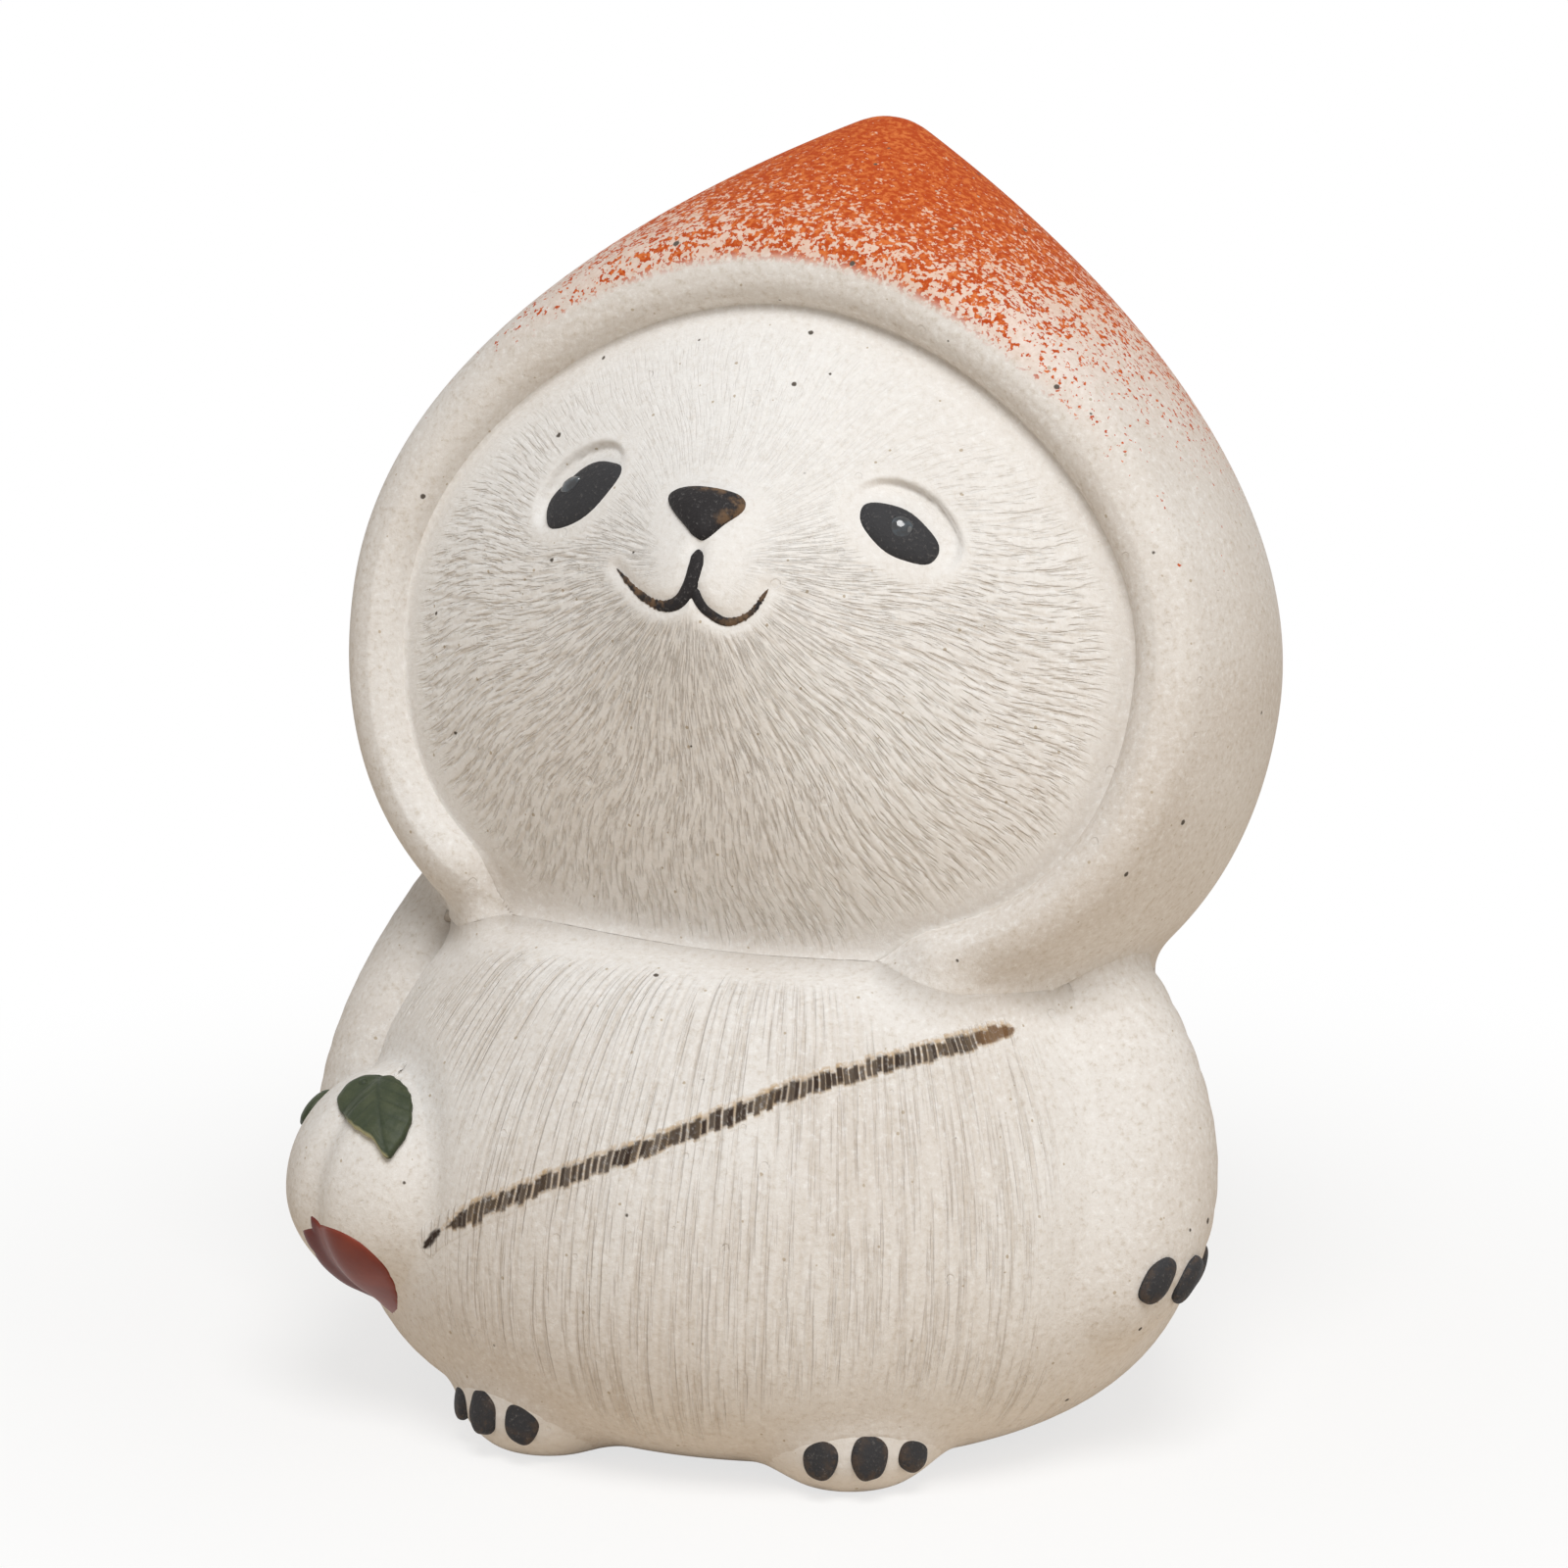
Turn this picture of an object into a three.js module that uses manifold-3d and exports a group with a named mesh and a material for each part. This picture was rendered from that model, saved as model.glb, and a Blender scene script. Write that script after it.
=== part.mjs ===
// An unglazed stoneware tea pet: a seated bear cub in a peach-shaped hood, with a peach satchel at its hip.
// Sizes are millimetres and angles are degrees. +Z is up and the cub faces -Y, so its own left side is +X.

import * as THREE from "three";
import { mergeVertices } from "three/addons/utils/BufferGeometryUtils.js";
import Module from "manifold-3d";

// Walls and joints
const wallThickness = 4;
const lutingGap = 0.3; // slip joint between two clay pieces
const inlayGap = 0.2; // around a bit of black clay in its seat

// Torso: a revolved form, flattened front to back, whose axis leans back towards the neck
const torsoWidth = 56.8;
const torsoDepth = 49.8;
const torsoWidestHeight = 13.9;
const torsoForward = 2.6;
const baseWidth = 33;
const undersideSweep = 7.1; // Bezier handles of the side profile
const undersideRise = 1.4;
const lowerSideHandle = 8;
const upperSideHandle = 12;
const shoulderSlope = { across: 5, down: 4 };
const neckWidth = 28;
const neckHeight = 36.5;
const neckLean = 5;
const ventDiameter = 14;

// Hood: a revolved peach with a rounded point, flattened front to back and tipped back on the torso
const hoodWidth = 61;
const hoodDepth = 55.7;
const hoodCrownHeight = 35.1; // from the widest ring up to the point
const hoodChinDepth = 25.3; // from the widest ring down to the chin
const chinHandle = 21; // Bezier handles of the peach profile
const cheekHandle = 14.5;
const crownHandle = 16;
const pointRadius = 4.6;
const pointFlankAngle = 30.6;
const pointFlankHandle = 11.6;
const hoodTilt = 23.4;
const hoodBack = 5;
const hoodRise = 11.2; // from the top of the torso profile up to the widest ring
const neckHoleDiameter = 14;
const neckHoleBack = 6;

// Face opening: an outline along the crest of the rolled lip, on a front that bows back at the sides
const faceWidth = 53.7;
const faceTop = 23.1;
const faceBottom = 20.9;
const faceTopHandle = 13.1; // Bezier handles of the outline
const faceTempleHandle = 11.3;
const faceJawHandle = 14.4;
const faceBottomHandle = 18.5;
const faceForward = 12.5; // from the hood axis
const faceDrop = 1.5; // below the widest ring
const faceLean = 7.1; // top edge forwards
const frontBowRadius = 165;
const lipRadius = 2;
const lipStandOut = 0.9; // of the lip's crest from the cut front of the hood

// Face panel: a dome with a muzzle, let into the opening against a ledge
const grooveDepth = 2; // from the lip's crest to the edge of the dome
const domeHeight = 8;
const domeTopRoundness = 1.82; // powers of the dome's ovals; 2 is a true oval and more is squarer
const domeBottomRoundness = 2.5;
const muzzleHeight = 3.2;
const muzzleRadius = 7.5;
const muzzleRise = 3; // above the middle of the outline
const panelEdge = 3.5;
const ledgeWidth = 2.5;
const ledgeThickness = 3;

// Black clay let into the face
const eyeLength = 6.3;
const eyeHeight = 3.7;
const eyeThickness = 1.6;
const eyeApart = 21.6;
const eyeRise = 7.7;
const eyeSlant = 39; // outer end down
const pupilDiameter = 1.4;
const noseWidth = 5.2;
const noseHeight = 3.6;
const noseThickness = 1.6;
const noseRise = 7.2;
const noseStandOut = 0.8;
const mouthWidth = 10.2;
const mouthCurlDepth = 1.8;
const mouthCurlTurn = 198; // each curl is a little more than half an oval
const mouthSplitRise = 2.6;
const philtrumLength = 2.4;
const mouthLine = 0.9;

// Arms: round limbs through three stations on the torso, each sunk in its side; the right one is held forward
const leftArm = {
  shoulder: { azimuth: 88, height: 28.5, sunk: 3.2, radius: 6 },
  elbow: { azimuth: 88, height: 17.5, sunk: 4.4, radius: 7 },
  hand: { azimuth: 79, height: 13, sunk: 2.8, radius: 4.8 },
};
const rightArm = {
  shoulder: { azimuth: -76, height: 28.3, sunk: 2.5, radius: 6.3 },
  elbow: { azimuth: -77, height: 18.5, sunk: 4.3, radius: 6.5 },
  hand: { azimuth: -74, height: 13, sunk: 3.4, radius: 4.8 },
};

// Feet: flattened balls under the belly, turned a little to the cub's left
const footWidth = 10;
const footDepth = 8.4;
const footHeight = 6.6;
const footCentreHeight = 2.8;
const footAzimuth = 30.6;
const feetTurn = 3.8;
const footSunk = 2.2;

// Claws: oval bits of black clay
const clawWidth = 2.4;
const clawLength = 3.4;
const clawThickness = 1.4;
const footClawSpread = 36; // between two claws, seen from the middle of the foot
const footClawRise = 8;
const handClawSpread = 30;
const handClawAzimuth = 96; // of the middle one
const handClawDrop = 14;
const handClawTurn = 35;

// Satchel: a small peach with a cleft, two leaves, a stem and a glazed lower cheek
const satchelWidth = 17.2;
const satchelHeight = 16.6;
const satchelPoint = 0.65; // how far the peach draws in towards its lower point
const satchelAzimuth = -52.6;
const satchelCentreHeight = 14.8;
const satchelSunk = 4;
const cleftAzimuth = -31;
const cleftDepth = 0.6;
const cleftHalfAngle = 9;
const glazedCheek = { azimuth: -15, elevation: -31, halfAngle: 28 };
const leafLength = 7;
const leafWidth = 5;
const leafThickness = 0.8;
const frontLeaf = { name: "satchel_leaf_front", azimuth: -4, elevation: 45, turn: 31 };
const rearLeaf = { name: "satchel_leaf_rear", azimuth: -85, elevation: 44, turn: -31 };
const stemDiameter = 1.4;
const stemLength = 1.5;
const stemPlace = { azimuth: -45, elevation: 72 };

// Strap: a combed cord laid across the belly; it falls from the left shoulder to the middle of the satchel
const strapRoute = [
  { azimuth: 58, fall: 0 },
  { azimuth: 31, fall: 0.1 },
  { azimuth: 11, fall: 0.28 },
  { azimuth: -7, fall: 0.55 },
  { azimuth: -21, fall: 0.8 },
  { azimuth: -30, fall: 1 },
];
const strapWidth = 1.8;
const strapRibDepth = 0.15;
const strapRibs = 27;

// Facets
const torsoSides = 40;
const hoodSides = 40;
const faceSides = 40;
const weldTolerance = 1e-4;
const farSide = 100; // reach of a cutter that must pass the whole figure

const wasm = await Module();
wasm.setup();

const radians = THREE.MathUtils.degToRad;

// Direction from an azimuth, turning from the front to the cub's left, and an elevation.
function direction(azimuth, elevation = 0) {
  const level = Math.cos(radians(elevation));
  return new THREE.Vector3(
    Math.sin(radians(azimuth)) * level,
    -Math.cos(radians(azimuth)) * level,
    Math.sin(radians(elevation)),
  );
}

// Moves every vertex of a geometry by a rule.
function reshape(geometry, rule) {
  const position = geometry.getAttribute("position");
  const point = new THREE.Vector3();
  for (let i = 0; i < position.count; i += 1) {
    point.fromBufferAttribute(position, i);
    rule(point);
    position.setXYZ(i, point.x, point.y, point.z);
  }
  return geometry;
}

// A closed geometry as a solid that can be joined and cut.
function solidOf(geometry) {
  const bare = geometry.clone();
  bare.deleteAttribute("normal");
  bare.deleteAttribute("uv");
  const welded = mergeVertices(bare, weldTolerance);
  const corners = welded.index.array;
  const triVerts = [];
  for (let i = 0; i < corners.length; i += 3) {
    const [a, b, c] = corners.slice(i, i + 3);
    if (a !== b && b !== c && c !== a) {
      triVerts.push(a, b, c);
    }
  }
  const vertProperties = welded.getAttribute("position").array;
  return new wasm.Manifold(new wasm.Mesh({ numProp: 3, vertProperties, triVerts: new Uint32Array(triVerts) }));
}

function geometryOf(solid) {
  const mesh = solid.getMesh();
  const geometry = new THREE.BufferGeometry();
  geometry.setAttribute("position", new THREE.BufferAttribute(mesh.vertProperties, 3));
  geometry.setIndex(new THREE.BufferAttribute(mesh.triVerts, 1));
  geometry.computeVertexNormals();
  return geometry;
}

function cutBy(solid, ...cutters) {
  return cutters.reduce((left, cutter) => left.subtract(cutter), solid);
}

// A profile turned about +Z; its first turn faces the front.
function revolve(profile, sides) {
  return new THREE.LatheGeometry(profile, sides).rotateX(Math.PI / 2);
}

// A profile from axis to axis moved outwards by a distance, with its ends kept on the axis.
function growProfile(profile, distance) {
  return profile.map((point, i) => {
    const before = profile[Math.max(i - 1, 0)];
    const after = profile[Math.min(i + 1, profile.length - 1)];
    if (i === 0 || i === profile.length - 1) {
      return new THREE.Vector2(0, point.y + (i === 0 ? -distance : distance));
    }
    const along = after.clone().sub(before).normalize();
    return new THREE.Vector2(Math.max(point.x + along.y * distance, 0), point.y - along.x * distance);
  });
}

// A round limb along a curve, with round ends, whose radius is a function of the way along.
function limb(curve, radiusAt, sides, steps, capSteps) {
  const capsule = new THREE.CapsuleGeometry(1, 1, capSteps, sides, steps);
  return reshape(capsule, (point) => {
    const along = THREE.MathUtils.clamp(point.y + 0.5, 0, 1);
    const overshoot = point.y + 0.5 - along;
    const radius = radiusAt(along);
    const forward = curve.getTangent(along);
    const side = new THREE.Vector3().crossVectors(forward, direction(0)).normalize();
    const lift = new THREE.Vector3().crossVectors(side, forward);
    const { x, z } = point;
    point.copy(curve.getPoint(along));
    point.addScaledVector(forward, overshoot * radius);
    point.addScaledVector(side, x * radius);
    point.addScaledVector(lift, z * radius);
  });
}

// An oval bead of given size that lies flat against a surface, turned in that surface.
function bead({ width, length, thickness, point, normal, turn }, grow) {
  const oval = new THREE.SphereGeometry(1, 10, 6);
  oval.scale(width / 2 + grow, length / 2 + grow, thickness / 2 + grow);
  oval.rotateZ(radians(turn));
  const across = new THREE.Vector3().crossVectors(new THREE.Vector3(0, 0, 1), normal).normalize();
  const upwards = new THREE.Vector3().crossVectors(normal, across);
  oval.applyMatrix4(new THREE.Matrix4().makeBasis(across, upwards, normal).setPosition(point));
  return solidOf(oval);
}

// Torso profile

const torsoHalf = torsoWidth / 2;
const lowerSide = new THREE.CubicBezierCurve(
  new THREE.Vector2(baseWidth / 2, 0),
  new THREE.Vector2(baseWidth / 2 + undersideSweep, undersideRise),
  new THREE.Vector2(torsoHalf, torsoWidestHeight - lowerSideHandle),
  new THREE.Vector2(torsoHalf, torsoWidestHeight),
);
const upperSide = new THREE.CubicBezierCurve(
  new THREE.Vector2(torsoHalf, torsoWidestHeight),
  new THREE.Vector2(torsoHalf, torsoWidestHeight + upperSideHandle),
  new THREE.Vector2(neckWidth / 2 + shoulderSlope.across, neckHeight - shoulderSlope.down),
  new THREE.Vector2(neckWidth / 2, neckHeight),
);

function torsoRadius(height) {
  const side = height < torsoWidestHeight ? lowerSide : upperSide;
  let low = 0;
  let high = 1;
  while (high - low > weldTolerance) {
    const middle = (low + high) / 2;
    if (side.getPoint(middle).y < height) {
      low = middle;
    } else {
      high = middle;
    }
  }
  return side.getPoint(low).x;
}

const torsoCentre = (height) => neckLean * (height / neckHeight) ** 2 - torsoForward;

// A point level with the torso's side at an azimuth, moved outwards from it.
function onTorso(azimuth, height, out = 0) {
  const point = direction(azimuth).multiplyScalar(torsoRadius(height) + out);
  point.y = (point.y * torsoDepth) / torsoWidth + torsoCentre(height);
  point.z = height;
  return point;
}

function torsoForm(grow, steps) {
  const side = [...lowerSide.getPoints(steps), ...upperSide.getPoints(steps).slice(1)];
  const profile = [new THREE.Vector2(0, 0), ...side, new THREE.Vector2(0, neckHeight)];
  const form = revolve(growProfile(profile, grow), torsoSides);
  return solidOf(
    reshape(form, (point) => {
      point.y = (point.y * torsoDepth) / torsoWidth + torsoCentre(point.z);
    }),
  );
}

// Hood profile and the frames of the head and the face

const head = new THREE.Group();
head.position.set(0, hoodBack, neckHeight + hoodRise);
head.rotation.x = -radians(hoodTilt);
head.updateMatrix();

const face = new THREE.Group();
face.position.set(0, -faceForward, -faceDrop);
face.rotation.x = radians(faceLean);
face.updateMatrix();

const inHead = (geometry) => geometry.applyMatrix4(face.matrix);

function peachForm(grow, steps, sides) {
  const flank = radians(pointFlankAngle);
  const shoulderPoint = new THREE.Vector2(Math.sin(flank), Math.cos(flank) - 1).multiplyScalar(pointRadius);
  shoulderPoint.y += hoodCrownHeight;
  const flankStart = new THREE.Vector2(Math.cos(flank), -Math.sin(flank)).multiplyScalar(pointFlankHandle);
  flankStart.add(shoulderPoint);
  const hoodHalf = hoodWidth / 2;
  const peach = new THREE.Path();
  peach.moveTo(0, -hoodChinDepth);
  peach.bezierCurveTo(chinHandle, -hoodChinDepth, hoodHalf, -cheekHandle, hoodHalf, 0);
  peach.bezierCurveTo(hoodHalf, crownHandle, flankStart.x, flankStart.y, shoulderPoint.x, shoulderPoint.y);
  peach.quadraticCurveTo(pointRadius * Math.tan(flank / 2), hoodCrownHeight, 0, hoodCrownHeight);
  const form = revolve(growProfile(peach.getPoints(steps), grow), sides);
  return solidOf(form.scale(1, hoodDepth / hoodWidth, 1));
}

// Face outline

const faceOutline = new THREE.Path();
faceOutline.moveTo(0, faceTop);
faceOutline.bezierCurveTo(faceTopHandle, faceTop, faceWidth / 2, faceTempleHandle, faceWidth / 2, 0);
faceOutline.bezierCurveTo(faceWidth / 2, -faceJawHandle, faceBottomHandle, -faceBottom, 0, -faceBottom);
faceOutline.bezierCurveTo(-faceBottomHandle, -faceBottom, -faceWidth / 2, -faceJawHandle, -faceWidth / 2, 0);
faceOutline.bezierCurveTo(-faceWidth / 2, faceTempleHandle, -faceTopHandle, faceTop, 0, faceTop);

// A point of the outline at a share of its length, moved outwards in the face plane.
function outlinePoint(share, out) {
  const tangent = faceOutline.getTangent(share);
  const point = faceOutline.getPoint(share);
  return point.add(new THREE.Vector2(-tangent.y, tangent.x).multiplyScalar(out));
}

const frontBow = (x) => x ** 2 / (2 * frontBowRadius);

// A plate with the face outline, moved outwards, between two depths behind the face plane.
function outlinePlate(out, frontDepth, backDepth) {
  const corners = Array.from({ length: faceSides }, (_, i) => outlinePoint(i / faceSides, out));
  const plate = new THREE.ExtrudeGeometry(new THREE.Shape(corners), {
    depth: backDepth - frontDepth,
    bevelEnabled: false,
  });
  return plate.rotateX(Math.PI / 2).translate(0, backDepth, 0);
}

// A profile turned about the face's axis; the rule gets each vertex with its share of the outline.
function turnOnFace(profile, rule) {
  const turned = new THREE.LatheGeometry(profile, faceSides).rotateZ(Math.PI);
  return reshape(turned, (point) => {
    const turn = Math.round((Math.atan2(point.x, point.z) / (2 * Math.PI)) * faceSides);
    rule(point, ((turn + faceSides) % faceSides) / faceSides, Math.hypot(point.x, point.z));
  });
}

// The rolled lip round the opening.
function lipForm(grow) {
  const ringRadius = faceWidth;
  const section = new THREE.Path();
  section.absarc(ringRadius, -lipRadius, lipRadius + grow, 0, 2 * Math.PI);
  const ring = turnOnFace(section.getPoints(4), (point, share, radius) => {
    const place = outlinePoint(share, radius - ringRadius);
    point.set(place.x, point.y + frontBow(place.x), place.y);
  });
  return solidOf(inHead(ring));
}

// Everything inside the hood's outer skin: the peach with its cut front and the lip.
function hoodForm(grow) {
  const front = new THREE.CylinderGeometry(frontBowRadius, frontBowRadius, 2 * farSide, 160);
  front.rotateX(Math.PI / 2).translate(0, frontBowRadius + lipStandOut - grow, 0);
  return peachForm(grow, 7, hoodSides).intersect(solidOf(inHead(front))).add(lipForm(grow));
}

const panelInset = lipRadius + lutingGap;
const seatDepth = grooveDepth + frontBow(faceWidth / 2) + panelEdge;

function hoodShell() {
  const hollow = peachForm(-wallThickness, 5, 24);
  const clayBehindFace = new THREE.BoxGeometry(2 * farSide, farSide, 2 * farSide);
  clayBehindFace.translate(0, seatDepth + ledgeThickness - farSide / 2, 0);
  const seat = outlinePlate(-lipRadius, -farSide, seatDepth + lutingGap);
  const opening = outlinePlate(-panelInset - ledgeWidth, -farSide, seatDepth + 2 * ledgeThickness);
  const neckHole = new THREE.CylinderGeometry(neckHoleDiameter / 2, neckHoleDiameter / 2, hoodChinDepth, 32);
  neckHole.rotateX(Math.PI / 2).translate(0, neckHoleBack, -hoodChinDepth);
  return cutBy(
    hoodForm(0),
    cutBy(hollow, solidOf(inHead(clayBehindFace))),
    solidOf(inHead(seat)),
    solidOf(inHead(opening)),
    solidOf(neckHole),
  );
}

// Face panel and what is let into it

// Depth of the face's front behind the face plane, from its middle to its edge.
function faceDepth(x, z) {
  const up = z > 0;
  const power = up ? domeTopRoundness : domeBottomRoundness;
  const across = (Math.abs(x) / (faceWidth / 2 - panelInset)) ** power;
  const along = (Math.abs(z) / ((up ? faceTop : faceBottom) - panelInset)) ** power;
  const dome = domeHeight * (1 - (across + along) ** (2 / power));
  const muzzle = muzzleHeight * Math.exp(-(x ** 2 + (z - muzzleRise) ** 2) / muzzleRadius ** 2);
  return grooveDepth + frontBow(x) - dome - muzzle;
}

const onFace = (x, z, out = 0) => new THREE.Vector3(x, faceDepth(x, z) - out, z);

function faceNormal(x, z) {
  const step = 0.1;
  const across = onFace(x + step, z).sub(onFace(x - step, z));
  const upwards = onFace(x, z + step).sub(onFace(x, z - step));
  return across.cross(upwards).normalize();
}

// The dome and its dished back, turned as one profile and stretched to the outline.
function facePanel() {
  const rings = 6;
  const share = Array.from({ length: rings + 1 }, (_, i) => i / rings);
  const backEdge = 1 - (2 * ledgeWidth) / faceWidth;
  const dish = share.map((way) => new THREE.Vector2(way * backEdge, -1));
  const rim = new THREE.Vector2(1, -2);
  const dome = share.map((way) => new THREE.Vector2(1 - way, 1));
  const panel = turnOnFace([...dish, rim, ...dome], (point, outlineShare, way) => {
    const kind = point.y;
    const place = outlinePoint(outlineShare, -panelInset).multiplyScalar(way);
    const front = faceDepth(place.x, place.y);
    const behind = Math.min(front + wallThickness, seatDepth);
    point.set(place.x, kind < 0 ? front : kind > 1 ? seatDepth : behind, place.y);
    if (kind > 0 && way > backEdge - weldTolerance) {
      point.y = seatDepth;
    }
  });
  return solidOf(panel);
}

function eyeForm(side, grow) {
  const place = { x: (side * eyeApart) / 2, z: eyeRise };
  const normal = faceNormal(place.x, place.z);
  return bead(
    {
      width: eyeLength,
      length: eyeHeight,
      thickness: eyeThickness,
      point: onFace(place.x, place.z),
      normal,
      turn: -side * eyeSlant,
    },
    grow,
  );
}

function pupilForm(side, grow) {
  const place = { x: (side * eyeApart) / 2, z: eyeRise };
  const normal = faceNormal(place.x, place.z);
  const ball = new THREE.SphereGeometry(pupilDiameter / 2 + grow, 10, 6);
  const { x, y, z } = onFace(place.x, place.z).addScaledVector(normal, eyeThickness / 2);
  return solidOf(ball.translate(x, y, z));
}

function noseForm(grow) {
  const half = noseWidth / 2 + grow;
  const top = noseHeight / 2 + grow;
  const outline = new THREE.Shape();
  outline.moveTo(0, -top);
  outline.bezierCurveTo(half / 2, -top, half, top / 4, half, top / 2);
  outline.bezierCurveTo(half, top, half / 2, top, 0, top);
  outline.bezierCurveTo(-half / 2, top, -half, top, -half, top / 2);
  outline.bezierCurveTo(-half, top / 4, -half / 2, -top, 0, -top);
  const edge = noseThickness / 4;
  const plate = new THREE.ExtrudeGeometry(outline, {
    depth: noseThickness + 2 * grow - 2 * edge,
    bevelThickness: edge,
    bevelSize: edge,
    bevelOffset: -edge,
    bevelSegments: 2,
    curveSegments: 4,
  });
  plate.translate(0, 0, noseStandOut + edge - noseThickness - grow);
  const normal = faceNormal(0, noseRise);
  const across = new THREE.Vector3(1, 0, 0);
  const upwards = new THREE.Vector3().crossVectors(normal, across);
  const place = new THREE.Matrix4().makeBasis(across, upwards, normal).setPosition(onFace(0, noseRise));
  return solidOf(plate.applyMatrix4(place));
}

// The split lip: a curl to each side, and the line from the nose down to where they part.
function mouthForm(grow) {
  const radius = mouthLine / 2 + grow;
  const lineAlong = (places) => {
    const curve = new THREE.CatmullRomCurve3(places.map(([x, z]) => onFace(x, mouthSplitRise + z)));
    return solidOf(limb(curve, () => radius, 6, 7, 1));
  };
  const curl = (side) => {
    const turns = Array.from({ length: 7 }, (_, i) => (radians(mouthCurlTurn) * i) / 6);
    const across = (side * mouthWidth) / 4;
    return lineAlong(turns.map((turn) => [across * (1 - Math.cos(turn)), -mouthCurlDepth * Math.sin(turn)]));
  };
  const philtrum = lineAlong([
    [0, philtrumLength],
    [0, philtrumLength / 2],
    [0, 0],
  ]);
  return curl(1).add(curl(-1)).add(philtrum);
}

// Limbs

function armForm({ shoulder, elbow, hand }, grow) {
  const stations = [shoulder, elbow, hand];
  const curve = new THREE.CatmullRomCurve3(
    stations.map(({ azimuth, height, sunk }) => onTorso(azimuth, height, -sunk)),
  );
  const radiusAt = (along) => {
    const start = shoulder.radius * (1 - along) * (1 - 2 * along);
    const middle = elbow.radius * 4 * along * (1 - along);
    const end = hand.radius * along * (2 * along - 1);
    return start + middle + end + grow;
  };
  return solidOf(limb(curve, radiusAt, 14, 7, 4));
}

// A ball with three radii standing on the torso at an azimuth, as a centre and a surface rule.
function footBall(side) {
  const azimuth = side * footAzimuth + feetTurn;
  const centre = onTorso(azimuth, footCentreHeight, -footSunk);
  const turn = new THREE.Matrix4().makeRotationZ(radians(azimuth));
  return { centre, turn };
}

function footForm(side) {
  const { centre, turn } = footBall(side);
  const ball = new THREE.SphereGeometry(1, 18, 8).rotateX(Math.PI / 2);
  ball.scale(footWidth / 2, footDepth / 2, footHeight / 2).applyMatrix4(turn);
  return solidOf(ball.translate(centre.x, centre.y, centre.z));
}

function footClaw(side, index, grow) {
  const { centre, turn } = footBall(side);
  const towards = direction(index * footClawSpread, footClawRise);
  const radii = new THREE.Vector3(footWidth / 2, footDepth / 2, footHeight / 2);
  const point = towards.clone().multiply(radii).applyMatrix4(turn).add(centre);
  const normal = towards.clone().divide(radii).applyMatrix4(turn).normalize();
  const size = { width: clawWidth, length: clawLength, thickness: clawThickness };
  return bead({ ...size, point, normal, turn: 0 }, grow);
}

function handClaw(index, grow) {
  const { hand } = leftArm;
  const centre = onTorso(hand.azimuth, hand.height, -hand.sunk);
  const normal = direction(handClawAzimuth + index * handClawSpread, -handClawDrop);
  const point = centre.addScaledVector(normal, hand.radius);
  const size = { width: clawWidth, length: clawLength, thickness: clawThickness };
  return bead({ ...size, point, normal, turn: -handClawTurn }, grow);
}

// Satchel

const satchelCentre = onTorso(satchelAzimuth, satchelCentreHeight, -satchelSunk);

// Distance from the satchel's centre to its skin in a direction.
function satchelReach(towards) {
  const level = Math.hypot(towards.x, towards.y);
  const ball = 1 / Math.hypot((2 * level) / satchelWidth, (2 * towards.z) / satchelHeight);
  const azimuth = THREE.MathUtils.radToDeg(Math.atan2(towards.x, -towards.y));
  const away = (azimuth - cleftAzimuth) / cleftHalfAngle;
  const cleft = cleftDepth * level * Math.exp(-(away ** 2));
  const drawnIn = satchelPoint * (2 * Math.max(-towards.z, 0) * level) ** 2;
  return ball - cleft - drawnIn;
}

function satchelForm(grow) {
  const ball = new THREE.SphereGeometry(1, 32, 14).rotateX(Math.PI / 2);
  return solidOf(
    reshape(ball, (point) => {
      point.normalize();
      point.multiplyScalar(satchelReach(point) + grow).add(satchelCentre);
    }),
  );
}

// Everything of the satchel past a flat across its lower cheek.
function cheekCutter(back) {
  const normal = direction(glazedCheek.azimuth, glazedCheek.elevation);
  const start = satchelReach(normal) * Math.cos(radians(glazedCheek.halfAngle)) - back;
  const block = new THREE.BoxGeometry(farSide, farSide, farSide);
  const place = new THREE.Matrix4().lookAt(normal, new THREE.Vector3(), new THREE.Vector3(0, 0, 1));
  const { x, y, z } = normal.multiplyScalar(start + farSide / 2).add(satchelCentre);
  return solidOf(block.applyMatrix4(place).translate(x, y, z));
}

// A pointed leaf laid over the satchel's skin.
function leafForm({ azimuth, elevation, turn }, grow) {
  const middle = direction(azimuth, elevation);
  const across = direction(azimuth + 90);
  const upwards = new THREE.Vector3().crossVectors(middle, across);
  const leaf = new THREE.SphereGeometry(1, 16, 12);
  reshape(leaf, (point) => {
    const taper = Math.sqrt(1 + Math.min(point.y, 0));
    point.set(point.x * taper * (leafWidth / 2 + grow), point.y * (leafLength / 2 + grow), point.z);
  });
  leaf.rotateZ(radians(turn));
  return solidOf(
    reshape(leaf, (point) => {
      const height = leafThickness / 2 + lutingGap + point.z * (leafThickness / 2 + grow);
      const towards = middle.clone().multiplyScalar(satchelWidth / 2);
      towards.addScaledVector(across, point.x).addScaledVector(upwards, point.y).normalize();
      point.copy(towards).multiplyScalar(satchelReach(towards) + height).add(satchelCentre);
    }),
  );
}

function stemForm() {
  const towards = direction(stemPlace.azimuth, stemPlace.elevation);
  const foot = towards.clone().multiplyScalar(satchelReach(towards)).add(satchelCentre);
  const curve = new THREE.LineCurve3(foot, foot.clone().addScaledVector(towards, stemLength - stemDiameter / 2));
  return solidOf(limb(curve, () => stemDiameter / 2, 10, 1, 4));
}

// Strap

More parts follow.
